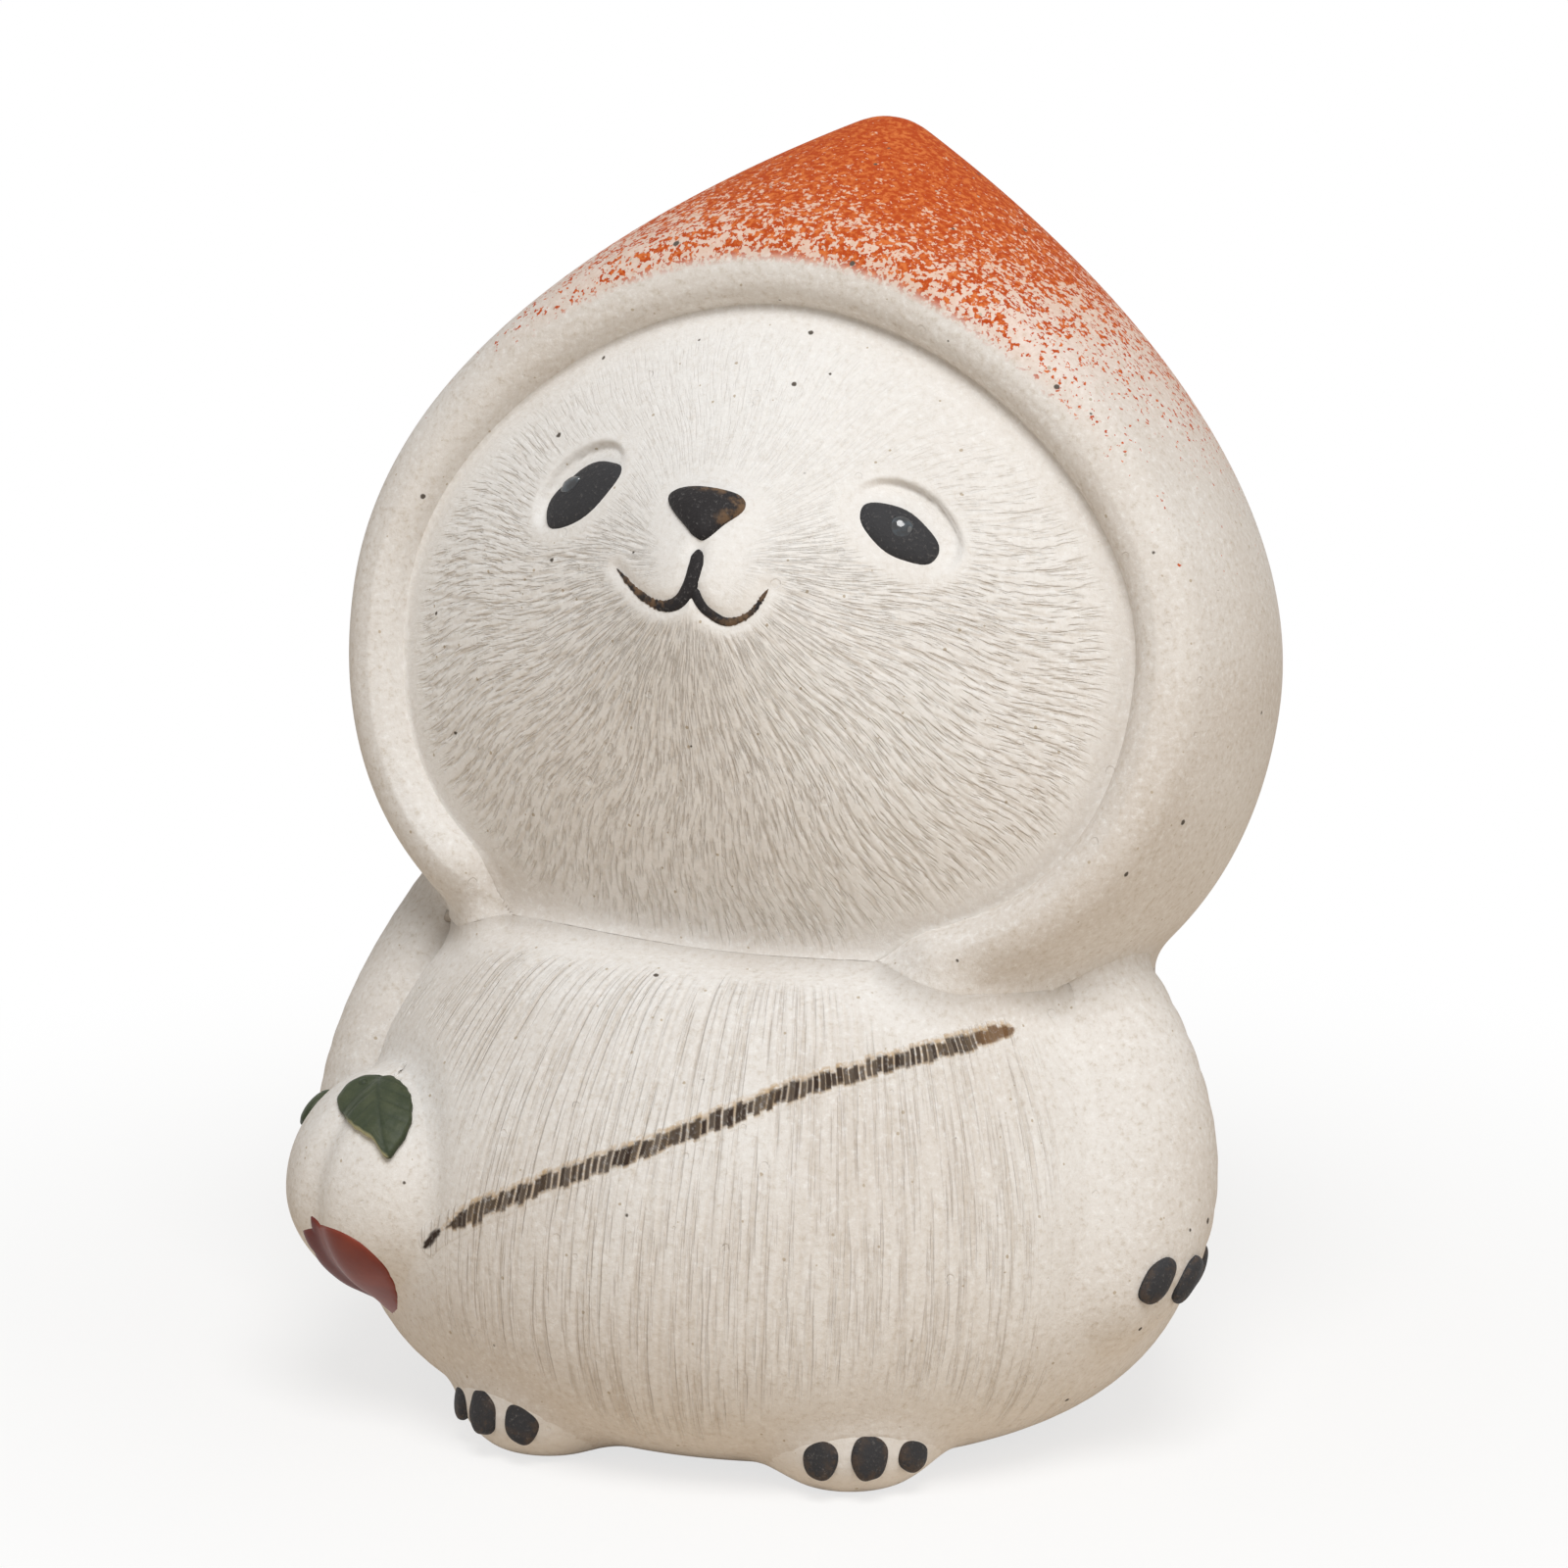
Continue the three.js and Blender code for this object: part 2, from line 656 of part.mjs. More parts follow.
function strapForm() {
  const top = leftArm.shoulder.height;
  const route = strapRoute.map(({ azimuth, fall }) =>
    onTorso(azimuth, THREE.MathUtils.lerp(top, satchelCentreHeight, fall)),
  );
  const curve = new THREE.CatmullRomCurve3(route);
  const steps = strapRibs * 2;
  const radiusAt = (along) => strapWidth / 2 - strapRibDepth * (Math.round(along * steps) % 2);
  return solidOf(limb(curve, radiusAt, 6, steps, 2));
}

// Materials, as fired

const stoneware = new THREE.MeshStandardMaterial({ color: 0xd9d2c4, roughness: 0.85, metalness: 0 });
const whiteSlip = new THREE.MeshStandardMaterial({ color: 0xe8e4da, roughness: 0.8, metalness: 0 });
const blackClay = new THREE.MeshStandardMaterial({ color: 0x2b2829, roughness: 0.7, metalness: 0 });
const blackGlaze = new THREE.MeshStandardMaterial({ color: 0x14181f, roughness: 0.15, metalness: 0 });
const brownSlip = new THREE.MeshStandardMaterial({ color: 0x4a3526, roughness: 0.75, metalness: 0 });
const greenGlaze = new THREE.MeshStandardMaterial({ color: 0x3d5638, roughness: 0.35, metalness: 0 });
const redGlaze = new THREE.MeshStandardMaterial({ color: 0x84351f, roughness: 0.25, metalness: 0 });

// Assembly

const teaPet = new THREE.Group();
head.add(face);
teaPet.add(head);

function addPiece(group, name, solid, material) {
  const mesh = new THREE.Mesh(geometryOf(solid), material.clone());
  mesh.name = name;
  group.add(mesh);
}

const ground = new THREE.BoxGeometry(2 * farSide, 2 * farSide, farSide).translate(0, 0, -farSide / 2);
const groundCutter = solidOf(ground);
const vent = new THREE.CylinderGeometry(ventDiameter / 2, ventDiameter / 2, 4 * wallThickness, 32);
const ventCutter = solidOf(vent.rotateX(Math.PI / 2).translate(0, torsoCentre(0), 0));
const faceRoom = solidOf(inHead(outlinePlate(0, -farSide, seatDepth)));
const headRoom = hoodForm(lutingGap).add(faceRoom);
const headCutter = solidOf(geometryOf(headRoom).applyMatrix4(head.matrix));
const torsoCutter = torsoForm(lutingGap, 8);
const satchelCutter = satchelForm(lutingGap);
const sides = [
  { name: "left", side: 1 },
  { name: "right", side: -1 },
];
const clawNames = ["inner", "middle", "outer"];

const torsoClay = cutBy(torsoForm(0, 8), torsoForm(-wallThickness, 4), ventCutter, headCutter);
addPiece(teaPet, "body_shell", torsoClay, stoneware);
addPiece(head, "hood_shell", hoodShell(), stoneware);

const faceSeats = [noseForm(inlayGap), mouthForm(inlayGap), eyeForm(1, inlayGap), eyeForm(-1, inlayGap)];
addPiece(face, "face_panel", cutBy(facePanel(), ...faceSeats), whiteSlip);
addPiece(face, "nose", noseForm(0), blackClay);
addPiece(face, "mouth", cutBy(mouthForm(0), noseForm(inlayGap)), blackClay);

for (const { name, side } of sides) {
  addPiece(face, `${name}_eye`, cutBy(eyeForm(side, 0), pupilForm(side, inlayGap)), blackClay);
  addPiece(face, `${name}_pupil`, pupilForm(side, 0), blackGlaze);

  const footClaws = clawNames.map((_, i) => footClaw(side, side * (i - 1), inlayGap));
  addPiece(teaPet, `${name}_foot`, cutBy(footForm(side), torsoCutter, groundCutter, ...footClaws), whiteSlip);
  clawNames.forEach((claw, i) => {
    const form = cutBy(footClaw(side, side * (i - 1), 0), torsoCutter);
    addPiece(teaPet, `${name}_foot_claw_${claw}`, form, blackClay);
  });
}

const handClaws = clawNames.map((_, i) => handClaw(i - 1, inlayGap));
addPiece(teaPet, "left_arm", cutBy(armForm(leftArm, 0), torsoCutter, headCutter, ...handClaws), stoneware);
addPiece(teaPet, "right_arm", cutBy(armForm(rightArm, 0), torsoCutter, headCutter, satchelCutter), stoneware);
clawNames.forEach((claw, i) => {
  addPiece(teaPet, `left_hand_claw_${claw}`, cutBy(handClaw(i - 1, 0), torsoCutter), blackClay);
});

const satchel = cutBy(satchelForm(0), torsoCutter);
const leaves = [frontLeaf, rearLeaf];
addPiece(teaPet, "satchel", cutBy(satchel, cheekCutter(lutingGap)), stoneware);
addPiece(teaPet, "satchel_glazed_cheek", satchel.intersect(cheekCutter(0)), redGlaze);
for (const leaf of leaves) {
  const leafCutters = [torsoCutter, armForm(rightArm, lutingGap)];
  addPiece(teaPet, leaf.name, cutBy(leafForm(leaf, 0), ...leafCutters), greenGlaze);
}
const stemCutters = [satchelCutter, torsoCutter, ...leaves.map((leaf) => leafForm(leaf, lutingGap))];
addPiece(teaPet, "satchel_stem", cutBy(stemForm(), ...stemCutters), greenGlaze);

const strapCutters = [torsoCutter, satchelCutter, armForm(leftArm, lutingGap)];
addPiece(teaPet, "strap", cutBy(strapForm(), ...strapCutters), brownSlip);

// The origin is under the middle of the figure, on the surface it stands on.
teaPet.updateMatrixWorld(true);
const box = new THREE.Box3().setFromObject(teaPet, true);
const middle = box.getCenter(new THREE.Vector3());
teaPet.position.set(-middle.x, -middle.y, -box.min.z);

export default teaPet;
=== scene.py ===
# Stoneware tea pet: a bear cub in a peach hood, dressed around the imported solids.
# Sizes are in millimetres until a piece is finished; +Z is up and the cub faces -Y.
import math

import bmesh
import bpy
import numpy as np
from mathutils import Matrix, Vector
from mathutils.bvhtree import BVHTree


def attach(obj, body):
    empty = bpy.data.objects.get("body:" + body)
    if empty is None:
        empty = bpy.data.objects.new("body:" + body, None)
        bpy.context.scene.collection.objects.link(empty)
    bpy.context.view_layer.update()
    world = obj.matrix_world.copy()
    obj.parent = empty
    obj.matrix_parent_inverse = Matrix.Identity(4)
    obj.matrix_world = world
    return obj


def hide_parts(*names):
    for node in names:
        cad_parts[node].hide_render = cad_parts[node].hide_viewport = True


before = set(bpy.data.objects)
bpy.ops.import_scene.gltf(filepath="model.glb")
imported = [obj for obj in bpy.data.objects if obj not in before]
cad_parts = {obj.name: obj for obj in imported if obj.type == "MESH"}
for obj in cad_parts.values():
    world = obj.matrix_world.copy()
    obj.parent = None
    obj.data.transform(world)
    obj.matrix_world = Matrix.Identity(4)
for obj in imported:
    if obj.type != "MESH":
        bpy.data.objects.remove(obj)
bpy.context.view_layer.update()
scene = bpy.context.scene
mm = 0.001
standBack = 2.79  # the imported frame's middle lies this far from the axis the sizes start at
print("frame loaded:", len(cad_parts), "solids")

# Camera at the photograph's angle
cameraSet = {"place": (188.09, -467.19, 178.94), "target": (-0.07, -2.82, 39.81),
             "lens": 185.77, "sensor": 36, "clipStart": 0.01}


def lookFrom(thing, place, target):
    scene.collection.objects.link(thing)
    thing.location = place
    thing.rotation_euler = (target - place).to_track_quat("-Z", "Y").to_euler()


cameraData = bpy.data.cameras.new("camera")
cameraData.lens = cameraSet["lens"]
cameraData.sensor_width = cameraSet["sensor"]
cameraData.clip_start = cameraSet["clipStart"]
cameraObject = bpy.data.objects.new("camera", cameraData)
lookFrom(cameraObject, Vector(cameraSet["place"]) * mm, Vector(cameraSet["target"]) * mm)
scene.camera = cameraObject


# Small sums that the pieces share

def bezier(handles, count):
    p = np.array(handles, float)
    t = np.linspace(0, 1, count)[:, None]
    while len(p) > 1:
        p = [(1 - t) * a + t * b for a, b in zip(p, p[1:])]
    return p[0]


def smooth(x):
    x = np.clip(x, 0, 1)
    return x * x * (3 - 2 * x)


def ramp(x, start, run):  # from 0 at the start to 1 after the run
    return smooth((x - start) / run)


def bell(x, half):
    return np.exp(-(x / half) ** 2)


def bulge(x, power):  # rounds values between -1 and 1 out towards the ends
    return np.sign(x) * np.abs(x) ** power


def softMin(a, b, soft):
    h = np.maximum(soft - np.abs(a - b), 0) / soft
    return np.minimum(a, b) - h * h * soft / 4


def softMax(a, b, soft):
    return -softMin(-a, -b, soft)


def unit(vectors):
    return vectors / np.linalg.norm(vectors, axis=-1, keepdims=True)


def halve(low, high, rounds, beyond):  # closes in on where a form's skin lies
    for turn in range(rounds):
        middle = (low + high) / 2
        past = beyond(middle)
        high = np.where(past, middle, high)
        low = np.where(past, low, middle)
    return low, high


def slopes(depth, x, z, step):
    slopeX = (depth(x + step, z) - depth(x - step, z)) / step / 2
    slopeZ = (depth(x, z + step) - depth(x, z - step)) / step / 2
    return slopeX, slopeZ


def direction(azimuth, elevation=0):
    a, e = math.radians(azimuth), math.radians(elevation)
    return np.array((math.sin(a) * math.cos(e), -math.cos(a) * math.cos(e), math.sin(e)))


def axesAlong(normal, guess):
    across = unit(np.cross(guess, normal))
    return np.array((across, np.cross(normal, across), normal))


def moved(points, matrix):
    m = np.array(matrix)
    return points @ m[:3, :3].T + m[:3, 3]


def throughPoints(stops, count):  # an even, smooth run through a few stops
    p = np.array(stops, float)
    p = np.vstack([2 * p[0] - p[1], p, 2 * p[-1] - p[-2]])
    t = np.linspace(0, len(stops) - 1, count)
    i = np.minimum(t.astype(int), len(stops) - 2)
    t = (t - i)[:, None]
    a, b, c, d = p[i], p[i + 1], p[i + 2], p[i + 3]
    return b + t / 2 * (c - a + t * (2 * a - 5 * b + 4 * c - d + t * (3 * (b - c) + d - a)))


def reachRound(stops, middle, angle):  # how far a closed outline lies from its middle, by the angle
    loop = throughPoints([*stops, *stops, *stops], 480)[160:320] - middle
    turn = np.arctan2(loop[:, 1], loop[:, 0])
    return np.interp(angle, turn, np.hypot(loop[:, 0], loop[:, 1]), period=math.tau)


def distanceField(path, low, high, step=0.25, closed=False):  # to a flat path, negative inside
    u, v = np.meshgrid(np.arange(low[0], high[0], step), np.arange(low[1], high[1], step), indexing="ij")
    best = np.full(u.shape, 1e9)
    inside = np.zeros(u.shape, bool)
    for i, (a, b) in enumerate(zip(path, np.roll(path, -1, 0))):
        run = b - a
        if closed or i < len(path) - 1:
            t = np.clip(((u - a[0]) * run[0] + (v - a[1]) * run[1]) / max(run @ run, 1e-12), 0, 1)
            best = np.minimum(best, np.hypot(u - a[0] - t * run[0], v - a[1] - t * run[1]))
        if a[1] != b[1]:
            crosses = (a[1] > v) != (b[1] > v)
            inside ^= crosses & (u < a[0] + (v - a[1]) / run[1] * run[0])
    return np.where(inside, -best, best), np.array(low, float), step


def sampleField(field, u, v):
    values, low, step = field
    u = np.clip((u - low[0]) / step, 0, values.shape[0] - 1.001)
    v = np.clip((v - low[1]) / step, 0, values.shape[1] - 1.001)
    i, j = u.astype(int), v.astype(int)
    u, v = u - i, v - j
    lower = values[i, j] * (1 - u) + values[i + 1, j] * u
    upper = values[i, j + 1] * (1 - u) + values[i + 1, j + 1] * u
    return lower * (1 - v) + upper * v


def turnedGap(points, field, squash):  # distance to a turned form that is flattened front to back
    x, y, z = points[:, 0], points[:, 1] * squash, points[:, 2]
    radius = np.hypot(x, y)
    stretch = np.hypot(x, y * squash) / np.maximum(radius, 1e-6)
    return sampleField(field, radius, z) / np.maximum(stretch, 1)


# combed cuts: how often their depth changes, how far they stray and sway, and how thin they are
strokeSet = {"beats": 64, "stray": 0.35, "sway": 0.3, "swayRun": 1.9, "swayStart": 5,
             "half": 0.24, "skipped": 0.28, "rise": 0.45}


def strokes(across, along, count, seed):  # thin combed cuts from 0 to 1, so many round a closed ring
    rng = np.random.default_rng(seed)
    beats, stray = strokeSet["beats"], strokeSet["stray"]
    depths = rng.random((count, beats))
    starts = rng.random(count) * beats
    shifts = rng.uniform(-stray, stray, count)
    middle = np.rint(across).astype(int)
    cut = np.zeros(len(across))
    for line in (middle - 1, middle, middle + 1):
        at = line % count
        way = along + starts[at]
        step = np.floor(way).astype(int)
        share = smooth(way - step)
        depth = depths[at, step % beats] * (1 - share) + depths[at, (step + 1) % beats] * share
        sway = strokeSet["sway"] * np.sin(strokeSet["swayRun"] * way + strokeSet["swayStart"] * starts[at])
        near = bell(across - line - shifts[at] - sway, strokeSet["half"])
        cut = np.maximum(cut, ramp(depth, strokeSet["skipped"], strokeSet["rise"]) * near)
    return cut


# Meshes

def keepMesh(bm, name):
    mesh = bpy.data.meshes.new(name)
    bm.to_mesh(mesh)
    bm.free()
    return mesh


def rolledMesh(name, rows, steps):  # a sheet of so many rows, to be rolled round once; angle 0 is the front
    bm = bmesh.new()
    bmesh.ops.create_grid(bm, x_segments=steps, y_segments=rows - 1, size=1)
    mesh = keepMesh(bm, name)
    flat = pointsOf(mesh)
    return mesh, flat[:, 0] * math.pi, np.rint((flat[:, 1] + 1) / 2 * (rows - 1)).astype(int)


# steps round and up the balls that pieces start from
ballSet = {"arm": (140, 160), "bead": (48, 32), "foot": (96, 64), "nose": (96, 48), "satchel": (200, 140),
           "stem": (32, 24)}


def ballMesh(name, kind):
    across, up = ballSet[kind]
    bm = bmesh.new()
    bmesh.ops.create_uvsphere(bm, u_segments=across, v_segments=up, radius=1)
    return keepMesh(bm, name)


def gridMesh(name, across, along):
    bm = bmesh.new()
    bm.loops.layers.uv.new("UVMap")
    bmesh.ops.create_grid(bm, x_segments=across, y_segments=along, size=1, calc_uvs=True)
    return keepMesh(bm, name)


def closeMesh(mesh):  # merges what met at a pole or a seam, and turns the faces outwards
    bm = bmesh.new()
    bm.from_mesh(mesh)
    bmesh.ops.remove_doubles(bm, verts=bm.verts, dist=1e-4)
    bmesh.ops.recalc_face_normals(bm, faces=bm.faces)
    bm.to_mesh(mesh)
    bm.free()


def pointsOf(mesh):
    flat = np.empty(len(mesh.vertices) * 3)
    mesh.vertices.foreach_get("co", flat)
    return flat.reshape(-1, 3)


def normalsOf(mesh):
    flat = np.empty(len(mesh.vertices) * 3)
    mesh.vertex_normals.foreach_get("vector", flat)
    return flat.reshape(-1, 3)


def setPoints(mesh, points):
    mesh.vertices.foreach_set("co", points.ravel())
    mesh.update()


def sink(mesh, depths):  # moves each point in along its normal
    setPoints(mesh, pointsOf(mesh) - normalsOf(mesh) * depths[:, None])


def paint(mesh, **layers):  # a value or a place for each point, which a finish reads by its name
    for name, values in layers.items():
        kind, entry = ("FLOAT", "value") if values.ndim == 1 else ("FLOAT_VECTOR", "vector")
        layer = mesh.attributes.new(name, kind, "POINT")
        layer.data.foreach_set(entry, values.astype(np.float32).ravel())


def painted(mesh, name):
    values = np.empty(len(mesh.vertices), np.float32)
    mesh.attributes[name].data.foreach_get("value", values)
    return values


# reach past a fillet and under a neighbour, sampling step, longest stride, and the sink past the seam
luteSet = {"past": 0.5, "under": 2.5, "step": 0.1, "stride": 1.2, "rounds": 5,
           "fade": (0.5, 1.5), "sink": 0.05, "sinkRun": 0.5}
# how soft each fillet is, and the depth and half width of the pressed seams
luteSoft = {"neck": 2.9, "leftArm": 1.2, "rightArm": 0.6, "foot": 2.4, "satchel": 1.2,
            "armNeck": 1.0, "satchelArm": 0.8}
seamSet = {"rightArm": (0.7, 0.5), "satchel": (0.35, 1.3)}


def lute(mesh, own, neighbours):
    # draws the skin out into a soft fillet with each neighbour; past the seam it stays under the neighbour
    points, normals = pointsOf(mesh), normalsOf(mesh)
    gaps = [gap(points) for gap, soft in neighbours]
    clear = np.min([gap - soft for gap, (form, soft) in zip(gaps, neighbours)], axis=0)
    under = -np.min(gaps, axis=0)
    ground = own(points)
    near = (clear < luteSet["past"]) & (under < luteSet["under"]) & (np.abs(ground) < 1)
    start, ground, under = points[near], ground[near], under[near]
    reached = [np.abs(gap[near]) < soft + luteSet["under"] for gap, (form, soft) in zip(gaps, neighbours)]

    def joint(place):
        level = own(place) - ground
        for there, (gap, soft) in zip(reached, neighbours):
            level[there] = softMin(level[there], gap(place[there]), soft)
        return level

    step, stride = luteSet["step"], luteSet["stride"]
    here = start.copy()
    for turn in range(luteSet["rounds"]):
        level = joint(here)
        slope = np.stack([joint(here + way) - level for way in np.eye(3) * step], -1) / step
        steep = np.maximum((slope ** 2).sum(1), 0.1)
        here -= slope * np.clip(level / steep, -stride, stride)[:, None]
    drawn = start + (here - start) * (1 - ramp(under, *luteSet["fade"]))[:, None]
    points[near] = drawn - normals[near] * (luteSet["sink"] * ramp(under, 0, luteSet["sinkRun"]))[:, None]
    setPoints(mesh, points)
    return clear


def press(mesh, other, depth, half):  # a pressed line where the piece meets another
    sink(mesh, depth * bell(other(pointsOf(mesh)), half))


def skinOf(mesh):
    faces = [tuple(face.vertices) for face in mesh.polygons]
    return BVHTree.FromPolygons([tuple(p) for p in pointsOf(mesh)], faces)


def finish(mesh, pieceName, node, slot, material):
    points = pointsOf(mesh)
    points[:, 1] -= standBack
    points[:, 2] = np.maximum(points[:, 2], 0)  # nothing reaches below the table
    setPoints(mesh, points * mm)
    mesh.shade_smooth()
    mesh.materials.append(material)
    piece = bpy.data.objects.new(pieceName, mesh)
    scene.collection.objects.link(piece)
    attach(piece, "root")
    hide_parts(node)
    print("made", pieceName, len(mesh.vertices), "points")
    return piece


# Node helpers for the fired finishes; scales are to the metre, and bumps are in metres

def startMaterial(name, shine):
    material = bpy.data.materials.new(name)
    material.use_nodes = True
    tree = material.node_tree
    for socket, value in shine.items():
        tree.nodes["Principled BSDF"].inputs[socket].default_value = value
    return material, tree, tree.nodes.new("ShaderNodeTexCoord").outputs["Object"]


def dressed(material, colour, normal):
    tree = material.node_tree
    shader = tree.nodes["Principled BSDF"]
    feed(tree, shader.inputs["Base Color"], colour)
    feed(tree, shader.inputs["Normal"], normal)
    return material


def feed(tree, socket, value):
    if isinstance(value, bpy.types.NodeSocket):
        tree.links.new(value, socket)
    elif socket.type == "RGBA":
        socket.default_value = (*value, 1)
    else:
        socket.default_value = value


def addNode(tree, kind, inputs, **settings):
    node = tree.nodes.new("ShaderNode" + kind)
    for name, value in settings.items():
        setattr(node, name, value)
    for socket, value in inputs.items():
        feed(tree, node.inputs[socket], value)
    return node.outputs


def noise(tree, coords, scale, detail=2, rough=0.5, output="Fac"):
    inputs = {"Vector": coords, "Scale": scale, "Detail": detail, "Roughness": rough}
    return addNode(tree, "TexNoise", inputs)[output]


def spread(tree, value, low, high, toLow=0.0, toHigh=1.0):
    inputs = {"Value": value, "From Min": low, "From Max": high, "To Min": toLow, "To Max": toHigh}
    return addNode(tree, "MapRange", inputs, interpolation_type="SMOOTHSTEP")["Result"]


def sums(tree, kind, *values):
    return addNode(tree, "Math", dict(enumerate(values)), operation=kind)[0]


def times(tree, a, b):
    return sums(tree, "MULTIPLY", a, b)


def blend(tree, share, a, b):
    return addNode(tree, "Mix", {0: share, 6: a, 7: b}, data_type="RGBA")[2]


def attribute(tree, name, output="Fac"):
    return addNode(tree, "Attribute", {}, attribute_name=name)[output]


def warped(tree, coords, scale, reach):  # shifts the coordinates a little, so that spots aren't round
    shift = noise(tree, coords, scale, output="Color")
    inputs = {0: shift, 1: (reach, reach, reach), 2: coords}
    return addNode(tree, "VectorMath", inputs, operation="MULTIPLY_ADD")[0]


def specks(tree, coords, scale, share, size, soft):  # one grain in a share of the cells
    cells = addNode(tree, "TexVoronoi", {"Vector": coords, "Scale": scale})
    chance = addNode(tree, "SeparateColor", {0: cells["Color"]})[0]
    radius = times(tree, spread(tree, chance, 1 - share, 1.0), size)
    return spread(tree, sums(tree, "SUBTRACT", radius, cells["Distance"]), 0.0, soft)


def bump(tree, height, strength, distance, under=None):
    inputs = {"Strength": strength, "Distance": distance, "Height": height}
    if under is not None:
        inputs["Normal"] = under
    return addNode(tree, "Bump", inputs)["Normal"]


# Sandy clay, with dark and pale grains and fine pores
claySet = {
    "warm": (0.672, 0.625, 0.575), "pale": (0.755, 0.73, 0.698), "light": (0.87, 0.865, 0.85),
    # the darkest brown is painted shade for the creases and the neck valley; the combed brown is partly
    # painted shade and partly stain in the comb grooves and fine lines
    "sand": (0.50, 0.43, 0.34), "speck": (0.105, 0.09, 0.075), "creaseShade": (0.25, 0.20, 0.15),
    "combed": (0.46, 0.37, 0.27), "shine": {"Roughness": 0.88, "Specular IOR Level": 0.22},
    "bend": (2600, 0.00016), "toneScale": 70, "tone": (0.3, 0.7), "hair": (0.48, 0.68),
    "grain": (2300, 4, 0.7), "sandShare": 0.56, "sandGrain": (0.5, 0.74), "lightGrain": (0.5, 0.27, 0.0, 0.6),
    "grainBump": (0.5, 0.00013), "hairBump": (0.65, 0.00016), "pores": (620, 0.2, 0.22, 0.04),
    "poreBump": (0.5, 0.0001),
}
# the grains' scale, share of cells, size and soft edge, by colour
grainSet = [("sand", (1500, 0.16, 0.2, 0.04)), ("speck", (420, 0.42, 0.1, 0.03)),
            ("speck", (150, 0.5, 0.048, 0.012))]
# Orange slip sprayed over the hood's point; it thins with the distance in metres from a centre
spraySet = {
    "solid": (0.46, 0.062, 0.008), "thin": (0.66, 0.17, 0.04), "tint": (0.76, 0.33, 0.14),
    "centre": (0.0015, 0.0152, 0.0779), "thinning": 10.8, "start": 0.288, "driftScale": 60, "drift": 0.008,
    "drops": (2900, 2, 0.6), "dropShare": 0.7, "coarse": (1000, 2, 0.5), "coarseShare": 0.3,
    "edge": (-0.02, 0.03), "tinted": (0.034, 0.008, 0.0, 0.65),
    "body": (2400, 3, 0.6), "bodyTone": (0.42, 0.66),
}
# Brown slip brushed on the strap
slipSet = {"dark": (0.036, 0.023, 0.017), "brown": (0.15, 0.08, 0.036), "tan": (0.50, 0.35, 0.19),
           "grit": (3600, 3, 0.6), "fringe": (0.3, 0.55), "cover": (0.26, 0.44, 0.8, 1.0)}


def clay(name, pale=0.0, combed=0.0, haired=0.0, sprayed=False, edged=False, brushed=False, seamShaded=False):
    material, tree, coords = startMaterial(name, claySet["shine"])
    bent = warped(tree, coords, *claySet["bend"])
    tone = spread(tree, noise(tree, coords, claySet["toneScale"], 3), *claySet["tone"])
    colour = blend(tree, tone, claySet["warm"], claySet["pale"])
    if pale:
        share = times(tree, attribute(tree, "slip"), pale) if edged else pale
        colour = blend(tree, share, colour, claySet["light"])
    # the comb grooves and the fine hair lines are tinted darker brown: partly painted shade, partly stain
    if combed:
        colour = blend(tree, times(tree, attribute(tree, "comb"), combed), colour, claySet["combed"])
    grain = noise(tree, coords, *claySet["grain"])
    normal = bump(tree, grain, *claySet["grainBump"])
    if haired:  # fine hairs that run out from the nose, or fine upright lines on the torso
        hair = noise(tree, attribute(tree, "polar", "Vector"), 1.0, 2, 0.6)
        streak = times(tree, spread(tree, hair, *claySet["hair"]), attribute(tree, "hair"))
        colour = blend(tree, times(tree, streak, haired), colour, claySet["combed"])
        normal = bump(tree, times(tree, streak, -1.0), *claySet["hairBump"], normal)
    sand = spread(tree, grain, *claySet["sandGrain"], 0.0, claySet["sandShare"] * (1 - pale))
    colour = blend(tree, sand, colour, claySet["sand"])
    colour = blend(tree, spread(tree, grain, *claySet["lightGrain"]), colour, claySet["light"])
    if sprayed:
        colour = spray(tree, coords, bent, colour)
    for hue, grains in grainSet:
        colour = blend(tree, specks(tree, bent, *grains), colour, claySet[hue])
    if brushed:
        colour = brush(tree, coords, colour)
    if seamShaded:  # painted shade where the pieces meet: the neck valley under the chin and the right arm's crease
        colour = blend(tree, attribute(tree, "seam"), colour, claySet["creaseShade"])
    pores = times(tree, specks(tree, bent, *claySet["pores"]), -1.0)
    return dressed(material, colour, bump(tree, pores, *claySet["poreBump"], normal))


def brush(tree, coords, under):
    grit = noise(tree, coords, *slipSet["grit"])
    fringe = times(tree, attribute(tree, "fringe"), spread(tree, grit, *slipSet["fringe"]))
    colour = blend(tree, fringe, under, slipSet["tan"])
    slip = blend(tree, attribute(tree, "smear"), slipSet["dark"], slipSet["brown"])
    dark = times(tree, attribute(tree, "brush"), spread(tree, grit, *slipSet["cover"]))
    return blend(tree, dark, colour, slip)


def spray(tree, coords, bent, under):
    away = addNode(tree, "VectorMath", {0: coords, 1: spraySet["centre"]}, operation="DISTANCE")["Value"]
    drift = spraySet["drift"]
    drifted = sums(tree, "MULTIPLY_ADD", noise(tree, coords, spraySet["driftScale"]), drift, -drift / 2)
    far = sums(tree, "ADD", away, drifted)
    drops = times(tree, noise(tree, bent, *spraySet["drops"]), spraySet["dropShare"])
    coarse = times(tree, noise(tree, bent, *spraySet["coarse"]), spraySet["coarseShare"])
    edge = sums(tree, "MULTIPLY_ADD", far, spraySet["thinning"], spraySet["start"])
    over = sums(tree, "SUBTRACT", sums(tree, "ADD", drops, coarse), edge)
    clean = attribute(tree, "sprayed")
    wet = times(tree, spread(tree, over, *spraySet["edge"]), clean)
    tint = times(tree, spread(tree, far, *spraySet["tinted"]), clean)
    colour = blend(tree, tint, under, spraySet["tint"])
    tone = spread(tree, noise(tree, bent, *spraySet["body"]), *spraySet["bodyTone"])
    return blend(tree, wet, colour, blend(tree, tone, spraySet["solid"], spraySet["thin"]))


